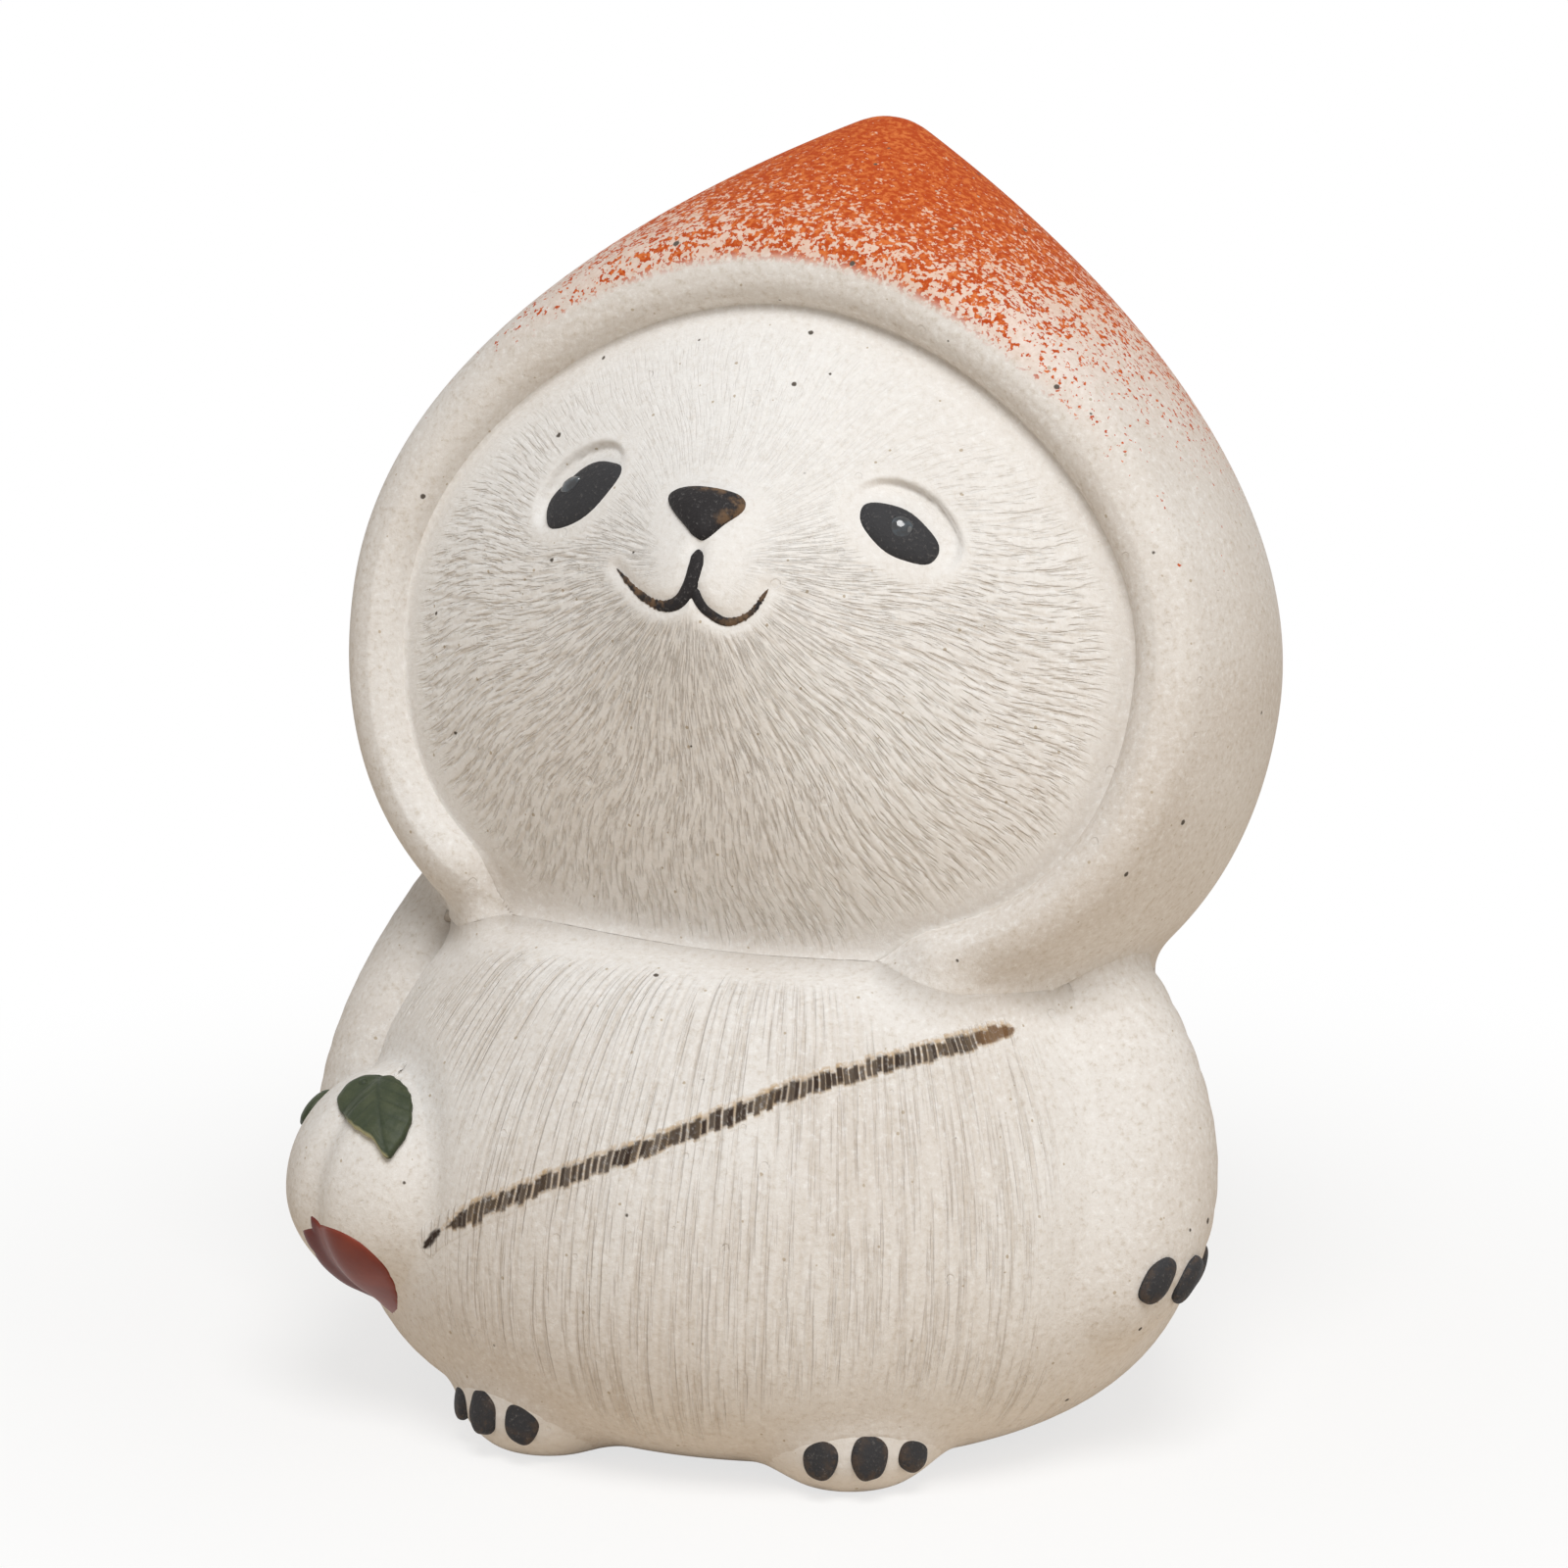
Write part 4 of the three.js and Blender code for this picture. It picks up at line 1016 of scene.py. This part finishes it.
def makeFace():
    rings = faceSet["rings"]
    ways = np.concatenate([np.linspace(0, 1, rings) ** faceSet["crowding"], faceSet["tuckedRings"]])
    mesh, angle, row = rolledMesh("face", len(ways), faceSet["steps"])
    tucked = row >= rings  # the last rows turn in behind the edge
    edge = faceEdge(angle)
    chin = chinShare(*(edge + faceSet["middle"]).T)
    grow = chin * faceSet["chinReach"] - (1 - chin) * faceSet["edgeInset"]
    share = (1 + grow / np.linalg.norm(edge, axis=1)) * ways[row]
    x, z = (edge * share[:, None] + faceSet["middle"]).T
    inset = -sampleField(outlineField, x, z)
    depth = faceDepth(x, z)
    lower = depth - lipDepth(np.maximum(inset, 0)) - lipPlane(x, z)
    front = frontDepth(x, z)
    nearEdge = (inset < faceSet["nearEdge"]) & (chin > 0)
    front[nearEdge] = frontOf(x[nearEdge], z[nearEdge])
    front += faceSet["tuck"] * ramp(lower, 0, faceSet["tuckRun"])
    depth = np.where(tucked, np.maximum(depth, -1) + faceSet["tuckedDepth"], front)
    socketDepth, clear = sockets(x, z)
    away = fromMouth(x, z)  # the mouth is cut in, and the clay round it is smoothed
    depth += socketDepth + mouthSet["cut"] * bell(away, mouthSet["half"])
    depth -= mouthSet["ridge"] * bell(away - 1.0, mouthSet["half"])
    setPoints(mesh, moved(np.stack([x, depth, z], -1), faceMatrix))
    fromNose = np.hypot((x - noseSet["middle"][0]) / noseSet["wide"], z - noseSet["middle"][1])
    clear = clear * ramp(away, *mouthSet["clear"]) * ramp(fromNose, *noseSet["clear"])
    fromEdge = combSet["fromEdge"] * (1 - chin) + combSet["fromChin"] * chin
    clear = clear * ramp(inset, fromEdge, combSet["edgeRun"])
    radius = np.hypot(x, z - faceSet["middle"][1])
    low = 0.5 - 0.5 * np.cos(angle)  # 0 at the forehead, 1 at the chin
    strength = combSet["forehead"] + (1 - combSet["forehead"]) * ramp(low, *combSet["cheeks"])
    strength = strength * clear * ramp(radius, *combSet["nose"]) * ~tucked
    bend = angle + combSet["hairBend"] * np.sin(radius / combSet["hairBendRun"])
    around = combSet["hairs"] * np.stack([np.sin(bend), np.cos(bend)])
    polar = np.stack([*around, radius * combSet["hairLength"]], -1)
    comb, slip = faceStrokes(angle, radius) * strength, ramp(inset, *combSet["slipEdge"])
    paint(mesh, comb=comb, hair=strength, slip=slip, polar=polar)
    closeMesh(mesh)
    lute(mesh, headGap, [(torsoGap, luteSoft["neck"])])
    sink(mesh, painted(mesh, "comb") * combSet["depth"])
    finish(mesh, "face_clay", "face_panel", "white_slip", faceSlip)


makeFace()


# Limbs

def makeArm(side, name):
    mesh = ballMesh(name, "arm")
    towards = unit(pointsOf(mesh) * (1, 1, 2))
    own = leftArmGap if side > 0 else rightArmGap
    elbow = armLine(side, np.array([0.4]))[0][0]
    ends = [np.full(len(towards), reach) for reach in (0.0, 24.0)]
    reach = halve(*ends, 22, lambda reach: own(elbow + towards * reach[:, None]) > 0)[0]
    setPoints(mesh, elbow + towards * reach[:, None])
    soft = luteSoft["leftArm"] if side > 0 else luteSoft["rightArm"]
    neighbours = [(torsoGap, soft), (headGap, luteSoft["armNeck"])]
    if side < 0:
        neighbours.append((satchelGap, luteSoft["satchelArm"]))
    lute(mesh, own, neighbours)
    if side < 0:
        press(mesh, torsoGap, *seamSet["rightArm"])
    skin = skinOf(mesh)
    finish(mesh, name + "_clay", name, "stoneware", stoneware)
    return skin


leftArmSkin = makeArm(1, "left_arm")
makeArm(-1, "right_arm")

# the hand's claws lie at an azimuth and a height on the torso
clawSet = {"width": 2.4, "length": 3.4, "thickness": 1.3, "spread": 36, "rise": 8, "footSeed": 31,
           "handWidth": 2.1, "handTurn": 40, "handReach": 12, "handSeed": 41,
           "hand": {"inner": (72.5, 13.1), "middle": (79.2, 12.4), "outer": (88, 11.8)}}
beadSet = {"ragged": 0.03, "waves": range(2, 7), "flatness": 0.8, "worn": (0.25, 0.6)}


def makeBead(node, size, place, normal, turn, material, seed, slot="black_clay", ending="_black"):
    mesh = ballMesh(node + ending, "bead")
    points = pointsOf(mesh)
    rng = np.random.default_rng(seed)
    angle = np.arctan2(points[:, 1], points[:, 0])
    most, waves = beadSet["ragged"], beadSet["waves"]
    ripples = [rng.uniform(-most, most) * np.cos(k * angle + rng.uniform(0, math.tau)) for k in waves]
    worn = ramp(np.hypot(points[:, 0], points[:, 1]), *beadSet["worn"]) * (points[:, 2] > 0)
    points[:, 2] = bulge(points[:, 2], beadSet["flatness"])
    points[:, :2] *= (1 + sum(ripples))[:, None]
    points *= np.array(size) / 2
    c, s = math.cos(math.radians(turn)), math.sin(math.radians(turn))
    points[:, :2] = points[:, :2] @ np.array(((c, s), (-s, c)))
    setPoints(mesh, points @ axesAlong(normal, (0, 0, 1)) + place)
    paint(mesh, worn=worn)
    finish(mesh, node + ending, node, slot, material)


def makeFoot(side, name):
    mesh = ballMesh(name, "foot")
    radii = np.array(footSet["size"]) / 2
    matrix = footMatrix(side)
    points = moved(pointsOf(mesh) * radii, matrix)
    points[:, 2] = softMax(points[:, 2], 0 * points[:, 2], footSet["soleRound"])
    setPoints(mesh, points)
    lute(mesh, leftFootGap if side > 0 else rightFootGap, [(torsoGap, luteSoft["foot"])])
    finish(mesh, name + "_slip", name, "white_slip", footSlip)
    size = (clawSet["width"], clawSet["length"], clawSet["thickness"])
    for i, claw in enumerate(("inner", "middle", "outer")):
        towards = direction(side * (i - 1) * clawSet["spread"], clawSet["rise"])
        place = moved((towards * radii)[None], matrix)[0]
        normal = unit(np.array(matrix)[:3, :3] @ (towards / radii))
        makeBead(f"{name}_claw_{claw}", size, place, normal, 0, clawClay, clawSet["footSeed"] + 3 * side + i)


makeFoot(1, "left_foot")
makeFoot(-1, "right_foot")


def makeHandClaws():
    size = (clawSet["handWidth"], clawSet["length"], clawSet["thickness"])
    for i, (claw, (azimuth, height)) in enumerate(clawSet["hand"].items()):
        start = Vector(onTorso(azimuth, height, clawSet["handReach"]))
        inward = (Vector(onTorso(azimuth, height, -clawSet["handReach"])) - start).normalized()
        hits = [skin.ray_cast(start, inward) for skin in (leftArmSkin, torsoSkin)]
        place, normal = min((hit for hit in hits if hit[0]), key=lambda hit: hit[3])[:2]
        makeBead("left_hand_claw_" + claw, size, np.array(place), np.array(normal), -clawSet["handTurn"],
                 clawClay, clawSet["handSeed"] + i)


makeHandClaws()


# Black clay let into the face

def onFace(x, z, out):  # a place on the face's front and the way it looks there
    x, z = np.array(float(x)), np.array(float(z))
    normal = np.array(faceMatrix)[:3, :3] @ faceNormal(x, z)
    return moved(np.array([[x, faceDepth(x, z), z]]), faceMatrix)[0] + normal * out, normal


pupilLook = {"body": (0.006, 0.008, 0.011), "lit": (0.03, 0.045, 0.06), "layers": {},
             "shine": {"Roughness": 0.12, "Coat Weight": 0.8, "Coat Roughness": 0.06},
             "cloud": (1500, 2), "tone": (0.4, 0.7), "skin": (2600, 2), "bump": (0.25, 0.0001)}
eyeSeat = {"eye": -0.4, "pupil": 0.2, "eyeSeed": 51, "pupilSeed": 55}
eyeSides = ((1, "left"), (-1, "right"))
for side, name in eyeSides:
    eye = eyeSet[side]
    makeBead(name + "_eye", eye["size"], *onFace(*eye["middle"], eyeSeat["eye"]), -side * eye["slant"],
             eyeClay, eyeSeat["eyeSeed"] + side)
pupilMaterial = glaze("black pupil glaze", pupilLook)
for side, name in eyeSides:
    eye = eyeSet[side]
    makeBead(name + "_pupil", eye["bead"], *onFace(*eye["pupil"], eyeSeat["pupil"]), -side * eye["slant"],
             pupilMaterial, eyeSeat["pupilSeed"] + side, "black_glaze", "_glaze")
print("eyes set in")


def makeNose():
    mesh = ballMesh("nose", "nose")
    points = pointsOf(mesh)
    angle = np.arctan2(points[:, 1], points[:, 0])
    level = np.hypot(points[:, 0], points[:, 1])
    reach = reachRound(noseSet["outline"], noseSet["middle"], angle)
    x, z = (points[:, :2] * reach[:, None] + noseSet["middle"]).T
    out = bulge(points[:, 2], noseSet["flatness"]) * noseSet["standOut"]
    normal = faceNormal(*(np.full(1, place) for place in noseSet["middle"]))
    base = np.stack([x, faceDepth(x, z), z], -1)
    setPoints(mesh, moved(base + normal * out[:, None], faceMatrix))
    # worn brown on the nose's upper right edge, which is also a painted highlight on the side the light falls
    # on
    paint(mesh, worn=ramp(level, 0.55, 0.35) * ramp(np.cos(angle - noseSet["wornTurn"]), -0.1, 0.8))
    closeMesh(mesh)
    finish(mesh, "nose_black", "nose", "black_clay", noseClay)


makeNose()


def makeMouth():
    bm = bmesh.new()
    rng = np.random.default_rng(mouthSet["seed"])
    sides = mouthSet["sides"]
    for line, widths in mouthLines():
        share = np.linspace(0, 1, len(line))
        half = widths / 2 * np.sqrt(np.clip(np.minimum(share, 1 - share) * mouthSet["ends"], 0.02, 1))
        dry = rng.uniform(0, mouthSet["dry"], len(line)) * ramp(share, *mouthSet["dryRun"])
        half *= 1 - dry  # the brush runs dry
        spine = np.stack([line[:, 0], faceDepth(*line.T) + mouthSet["sunk"], line[:, 1]], -1)
        run = unit(np.gradient(spine, axis=0))
        normal = faceNormal(*line.T)
        across = np.cross(run, normal) * half[:, None]
        up = normal * half[:, None] * mouthSet["flatness"]
        turns = np.linspace(0, math.tau, sides, endpoint=False)
        loops = []
        for i in range(len(line)):
            ring = [bm.verts.new(spine[i] + across[i] * math.cos(a) + up[i] * math.sin(a)) for a in turns]
            loops.append([bm.edges.new((ring[k], ring[(k + 1) % sides])) for k in range(sides)])
        for a, b in zip(loops, loops[1:]):
            bmesh.ops.bridge_loops(bm, edges=a + b)
        for end in (loops[0], loops[-1]):
            bmesh.ops.contextual_create(bm, geom=end)
    bmesh.ops.recalc_face_normals(bm, faces=bm.faces)
    mesh = keepMesh(bm, "mouth")
    points = pointsOf(mesh)
    paint(mesh, worn=ramp(np.abs(points[:, 0]), *mouthSet["worn"]))
    setPoints(mesh, moved(points, faceMatrix))
    finish(mesh, "mouth_black", "mouth", "black_clay", mouthClay)


makeMouth()


# Satchel: a small peach with a cleft, a glazed cheek, leaves and a stem

def makeSatchel():
    mesh = ballMesh("satchel", "satchel")
    towards = pointsOf(mesh)
    setPoints(mesh, towards * satchelReach(towards)[:, None] + satchelCentre)
    lute(mesh, satchelGap, [(torsoGap, luteSoft["satchel"]), (rightArmGap, luteSoft["satchelArm"])])
    press(mesh, torsoGap, *seamSet["satchel"])
    skin = skinOf(mesh)
    finish(mesh, "satchel_clay", "satchel", "stoneware", stoneware)
    return skin


satchelSkin = makeSatchel()


def onSatchel(towards, height):  # out from the satchel's finished skin
    reach = [satchelSkin.ray_cast(Vector(satchelCentre), Vector(ray))[3] for ray in towards]
    return towards * (np.array(reach) + height)[:, None] + satchelCentre


def satchelAxes(azimuth, elevation):  # out, across to the cub's left and up
    out, across = direction(azimuth, elevation), direction(azimuth + 90)
    return out, across, np.cross(out, across)


# the cheek's edge is an angle round its middle, from the cub's left upwards, and a reach in degrees
# of the satchel's ball
cheekSet = {
    "azimuth": -15, "elevation": -31, "thick": 0.14, "edgeRound": 0.12, "under": -0.4,
    # darkStart, darkRun and darkShare give painted shade: the red is darker past the cleft, on the side
    # turned from the light
    "rings": 28, "steps": 180, "darkStart": -3, "darkRun": 6, "darkShare": 0.75,
    "edge": [(-91, 38), (-79, 45), (-66, 32), (-50, 25), (-30, 21.5), (0, 20.5), (30, 23), (60, 25.5),
             (90, 26.5), (120, 27), (129, 33), (138, 28), (151, 31), (173, 25), (213, 29), (247, 37)],
}
cheekLook = {
    # the dark red layer is painted shade past the cleft
    "body": (0.175, 0.029, 0.015), "lit": (0.215, 0.038, 0.019), "layers": {"worn": (0.10, 0.012, 0.009)},
    "shine": {"Roughness": 0.42, "Specular IOR Level": 0.25, "Coat Weight": 0.06, "Coat Roughness": 0.25},
    "cloud": (420, 3), "tone": (0.35, 0.7), "skin": (1500, 3), "bump": (0.12, 0.0001),
}


def makeCheek():
    rings = np.concatenate([np.linspace(0, 1, cheekSet["rings"]), [1.0, 0.0]])
    mesh, turn, row = rolledMesh("cheek", len(rings), cheekSet["steps"])
    level = rings[row]
    edge = np.array(cheekSet["edge"], float)
    reach = np.interp(np.degrees(turn) % 360, edge[:, 0] % 360, edge[:, 1], period=360)
    middle, across, upwards = satchelAxes(cheekSet["azimuth"], cheekSet["elevation"])
    out = np.radians(reach * level)[:, None]
    turn = turn[:, None]
    towards = np.cos(out) * middle + np.sin(out) * (np.cos(turn) * across + np.sin(turn) * upwards)
    height = cheekSet["thick"] * np.sqrt(np.clip((1 - level) / cheekSet["edgeRound"], 0, 1))
    setPoints(mesh, onSatchel(towards, np.where(row >= cheekSet["rings"], cheekSet["under"], height)))
    azimuth = np.degrees(np.arctan2(towards[:, 0], -towards[:, 1]))
    # painted shade: the red is darker past the cleft, where the peach turns from the light
    past = satchelSet["cleft"] - azimuth
    paint(mesh, worn=ramp(past, cheekSet["darkStart"], cheekSet["darkRun"]) * cheekSet["darkShare"])
    closeMesh(mesh)
    finish(mesh, "satchel_cheek_glaze", "satchel_glazed_cheek", "red_glaze", glaze("red glaze", cheekLook))


makeCheek()

# the leaf's outline is across to the cub's left and up, from a place on the satchel;
# each leaf has an azimuth and an elevation there, a scale and a hand
leafSet = {
    "outline": [(-4.1, 1.5), (-3.7, 3.2), (-1.5, 4.1), (0.1, 3.45), (1.6, 2.1), (2.5, 0), (2.4, -1.9),
                (1.85, -3.0), (0.6, -2.0), (-1.2, -1.2), (-3.4, 0.3)],
    "middle": (-0.6, 1.0), "stalk": (-1.7, 3.9), "tip": (1.85, -3.0), "rings": 30, "steps": 160,
    "thick": 0.45, "edgeRound": 0.25, "lift": 0.1, "under": -0.35, "notch": 0.012, "notches": 17,
    "veinHalf": 0.13, "veins": 6, "veinPitch": 1.1, "veinLean": 0.7, "sideVein": 0.7, "veinCut": 0.06,
    "veinShare": 0.6, "veinEnd": 0.93, "curl": 0.25, "curlStart": (0.7, 0.3), "curlRun": 6,
    "rim": (0.9, 0.07), "rimStart": (3.0, 2), "rimShare": 0.85,
    "places": {"front": (-4, 49, 1.0, 1), "rear": (-103, 21, 0.66, -1)},
}
leafLook = {
    "body": (0.032, 0.044, 0.021), "lit": (0.056, 0.068, 0.034),
    "layers": {"vein": (0.022, 0.032, 0.017), "rim": (0.45, 0.42, 0.24)},
    "shine": {"Roughness": 0.55, "Specular IOR Level": 0.25, "Coat Weight": 0.04, "Coat Roughness": 0.3},
    "cloud": (900, 4, 0.6), "tone": (0.3, 0.75), "skin": (2200, 3), "bump": (0.5, 0.00015),
}
leafMaterial = glaze("green leaf glaze", leafLook)


def makeLeaf(node, azimuth, elevation, scale, hand):
    rings = np.concatenate([np.linspace(0, 1, leafSet["rings"]), [0.97, 0.0]])
    mesh, angle, row = rolledMesh(node + "_glaze", len(rings), leafSet["steps"])
    level = rings[row]
    under = row >= leafSet["rings"]
    notch = 1 + leafSet["notch"] * np.sin(leafSet["notches"] * angle) * ramp(level, 0.6, 0.4)
    reach = level * reachRound(leafSet["outline"], leafSet["middle"], angle) * notch
    place = np.stack([np.cos(angle), np.sin(angle)], -1) * reach[:, None]
    stalk, tip = (np.array(leafSet[end]) - leafSet["middle"] for end in ("stalk", "tip"))
    midrib = unit(tip - stalk)
    along = (place - stalk) @ midrib
    across = (place - stalk) @ (-midrib[1], midrib[0])
    half = leafSet["veinHalf"]
    ribs = bell(across, half)
    for k in range(1, leafSet["veins"] + 1):
        branch = bell(along - k * leafSet["veinPitch"] - leafSet["veinLean"] * np.abs(across), half)
        ribs = np.maximum(ribs, branch * leafSet["sideVein"])
    height = leafSet["thick"] * np.sqrt(np.clip((1 - level) / leafSet["edgeRound"], 0, 1)) + leafSet["lift"]
    height -= leafSet["veinCut"] * ribs * (level < leafSet["veinEnd"])
    height += leafSet["curl"] * ramp(level, *leafSet["curlStart"]) * ramp(along, 0, leafSet["curlRun"])
    middle, right, upwards = satchelAxes(azimuth, elevation)
    u, v = ((place + leafSet["middle"]) * scale * (hand, 1)).T
    towards = unit(middle * satchelSet["width"] / 2 + u[:, None] * right + v[:, None] * upwards)
    setPoints(mesh, onSatchel(towards, np.where(under, leafSet["under"], height)))
    lining = ramp(level, *leafSet["rim"]) * ramp(along, *leafSet["rimStart"]) * (across < 0)
    vein = np.where(under, 0, ribs * leafSet["veinShare"])
    paint(mesh, vein=vein, rim=lining * leafSet["rimShare"])
    closeMesh(mesh)
    finish(mesh, node + "_glaze", node, "green_glaze", leafMaterial)


for name, place in leafSet["places"].items():
    makeLeaf("satchel_leaf_" + name, *place)

stemSet = {"diameter": 0.9, "length": 0.6, "azimuth": -38, "elevation": 62,
           "taper": 0.2, "flatness": 0.5, "ribs": 5}


def makeStem():
    mesh = ballMesh("stem", "stem")
    points = pointsOf(mesh)
    towards = direction(stemSet["azimuth"], stemSet["elevation"])
    foot = towards * satchelReach(towards[None])[0] + satchelCentre
    points[:, :2] *= stemSet["diameter"] / 2 * (1 - stemSet["taper"] * points[:, 2:])
    points[:, 2] = bulge(points[:, 2], stemSet["flatness"]) * stemSet["length"]
    setPoints(mesh, points @ axesAlong(towards, (0, 1, 0)) + foot)
    ribs = 0.4 + 0.4 * np.sin(stemSet["ribs"] * np.arctan2(points[:, 1], points[:, 0]))
    paint(mesh, vein=ribs, rim=np.zeros(len(points)))
    finish(mesh, "satchel_stem_glaze", "satchel_stem", "green_glaze", leafMaterial)


makeStem()

# Strap: a low ridge of clay brushed with dark slip, which catches on the combed ridges
# its stops are azimuths and heights; the last drop has an azimuth, a length in degrees and half a height
strapSet = {
    "route": [(59.4, 28.5), (47, 28.1), (30, 27.05), (18.5, 25.8), (1.7, 22.7), (-14.6, 19.15), (-29.2, 15.2),
              (-33.6, 13.45)],
    "width": 2.8, "thickness": 0.4, "rise": 0.04, "slip": 0.03, "edgeDip": 0.14,
    "edge": (0.8, 0.55), "probe": 3.0, "bars": 98, "seed": 61, "start": 59.0, "end": -30.0, "smear": 49,
    "fill": -24, "drop": (-31.5, 2.1, 0.34), "reach": (0.45, 0.35), "steps": (1500, 20),
}


def brushMarks(azimuth, up):  # dark bars with ragged ends, a tan fringe and a brown smear at the start
    rng = np.random.default_rng(strapSet["seed"])
    count, begin, end = strapSet["bars"], strapSet["start"], strapSet["end"]
    ragged = rng.uniform(size=(5, count))
    place = (begin - azimuth + 0.12 * np.sin(2.1 * up + azimuth / 3)) / ((begin - end) / count)
    bar = np.clip(place.astype(int), 0, count - 1)
    shift, breadth, top, bottom, depth = ragged[:, bar]
    away = np.abs(place - bar - 0.5 - 0.3 * (shift - 0.5)) * 2
    joined = np.maximum(ramp(azimuth, strapSet["smear"], 5), ramp(azimuth, strapSet["fill"], -3))
    narrow = ramp(azimuth, end, 6) * (0.55 + 0.45 * ramp(azimuth, begin, -6))
    least, more = strapSet["reach"]
    top, bottom = (least + more * top) * narrow, (least + more * bottom) * narrow
    fill = np.maximum(smooth((0.92 + 0.3 * breadth - away) / 0.35), joined)
    tall = ramp(up, top, -0.16) * ramp(up, -bottom, 0.16)
    ends = ramp(azimuth, begin, -0.8) * ramp(azimuth, end, 0.8)
    dark = fill * tall * (0.82 + 0.18 * depth) * ends
    fringe = ramp(up, top + 0.36, -0.25) * ramp(up, -bottom - 0.1, 0.2) * (0.45 + 0.4 * breadth) * ends
    dropPlace, dropLength, dropHalf = strapSet["drop"]
    drop = 1 - ((azimuth - dropPlace) / dropLength) ** 2 - (up / dropHalf) ** 2
    return np.maximum(dark, ramp(drop, 0, 0.4)), fringe, ramp(azimuth, strapSet["smear"], 4)


def makeStrap():
    mesh = gridMesh("strap", *strapSet["steps"])
    flat = pointsOf(mesh)
    share, up = (flat[:, 0] + 1) / 2, flat[:, 1] * strapSet["width"] / 2
    line = throughPoints(strapSet["route"], 600)

    def along(share):
        return [np.interp(share, np.linspace(0, 1, len(line)), way) for way in line.T]

    azimuth, height = along(share)
    forward = unit(onTorso(*along(share + 0.004)) - onTorso(*along(share - 0.004)))
    side = onTorso(azimuth + 0.5, height) - onTorso(azimuth - 0.5, height)
    normal = unit(np.cross(side, onTorso(azimuth, height + 0.3) - onTorso(azimuth, height - 0.3)))
    ends = np.sqrt(np.clip(np.minimum(share, 1 - share) * 40, 0.02, 1))
    points = onTorso(azimuth, height) + np.cross(forward, normal) * (up * ends)[:, None]
    around = np.arctan2(points[:, 0], (torsoCentre(points[:, 2]) - points[:, 1]) * torsoSquash)
    dark, fringe, smear = brushMarks(np.degrees(around), up)
    dip = strapSet["edgeDip"] * ramp(np.abs(up), *strapSet["edge"])
    rise = strapSet["rise"] + strapSet["slip"] * dark - dip
    probe = strapSet["probe"]
    start = points + normal * probe
    reach = [torsoSkin.ray_cast(Vector(p), Vector(-n))[3] or probe for p, n in zip(start, normal)]
    setPoints(mesh, start + normal * (rise - np.array(reach))[:, None])
    paint(mesh, hair=np.ones(len(up)), polar=upright(around, points[:, 2]))
    paint(mesh, brush=dark, fringe=fringe, smear=smear)
    mesh.flip_normals()
    piece = finish(mesh, "strap_slip", "strap", "brown_slip", strapSlip)
    wall = piece.modifiers.new("thickness", "SOLIDIFY")
    wall.thickness = strapSet["thickness"] * mm
    wall.offset = -1


makeStrap()

# Floor, light and world, in metres; each lamp has an azimuth, elevation, distance, size, power and colour
stageSet = {
    "floor": (0.86, 0.85, 0.83), "floorHalf": 4, "floorShine": {"Roughness": 0.9, "Specular IOR Level": 0.0},
    "bounce": (0.72, 0.60, 0.47), "whitening": (0.035, 0.1, 0.72, 1.0),
    "world": 0.35, "sky": (1.0, 0.99, 0.97), "aim": (0, 0, 0.04),
    "lamps": {"key": (27, 60, 0.8, 0.45, 4.7, (1.0, 1.0, 1.0)),
              "fill": (82, 18, 0.9, 0.6, 1.0, (1.0, 0.96, 0.91))},
}


def plainlySeen(tree):  # 1 for what the camera sees, also in a gloss or through glass
    rays = addNode(tree, "LightPath", {})
    straight = sums(tree, "MAXIMUM", rays["Is Camera Ray"], rays["Is Glossy Ray"])
    return sums(tree, "MAXIMUM", straight, rays["Is Transmission Ray"])


def makeFloor():
    bm = bmesh.new()
    bmesh.ops.create_grid(bm, x_segments=1, y_segments=1, size=stageSet["floorHalf"])
    floor = bpy.data.objects.new("floor", keepMesh(bm, "floor"))
    scene.collection.objects.link(floor)
    material, tree, coords = startMaterial("pale floor", stageSet["floorShine"])
    shader = tree.nodes["Principled BSDF"]
    feed(tree, shader.inputs["Base Color"], stageSet["floor"])
    away = addNode(tree, "VectorMath", {0: coords}, operation="LENGTH")["Value"]
    whiter = spread(tree, away, *stageSet["whitening"])  # white away from the shadow
    white = addNode(tree, "Emission", {})[0]
    lit = addNode(tree, "MixShader", {0: whiter, 1: shader.outputs[0], 2: white})[0]
    bounce = addNode(tree, "BsdfDiffuse", {"Color": stageSet["bounce"]})[0]
    whole = addNode(tree, "MixShader", {0: plainlySeen(tree), 1: bounce, 2: lit})[0]
    tree.links.new(whole, tree.nodes["Material Output"].inputs["Surface"])
    floor.data.materials.append(material)


def makeLamp(name, azimuth, elevation, distance, size, power, colour):
    data = bpy.data.lights.new(name, "AREA")
    data.shape = "DISK"
    data.size, data.energy, data.color = size, power, colour
    aim = Vector(stageSet["aim"])
    lookFrom(bpy.data.objects.new(name, data), Vector(direction(azimuth, elevation) * distance) + aim, aim)


makeFloor()
for name, lamp in stageSet["lamps"].items():
    makeLamp(name, *lamp)

world = bpy.data.worlds.new("world")
scene.world = world
world.use_nodes = True
worldTree = world.node_tree
sky = worldTree.nodes["Background"]
feed(worldTree, sky.inputs["Color"], stageSet["sky"])
skyShare = stageSet["world"]
skyStrength = sums(worldTree, "MULTIPLY_ADD", plainlySeen(worldTree), 1 - skyShare, skyShare)
feed(worldTree, sky.inputs["Strength"], skyStrength)
scene.view_settings.view_transform = "Standard"
print("stage set")
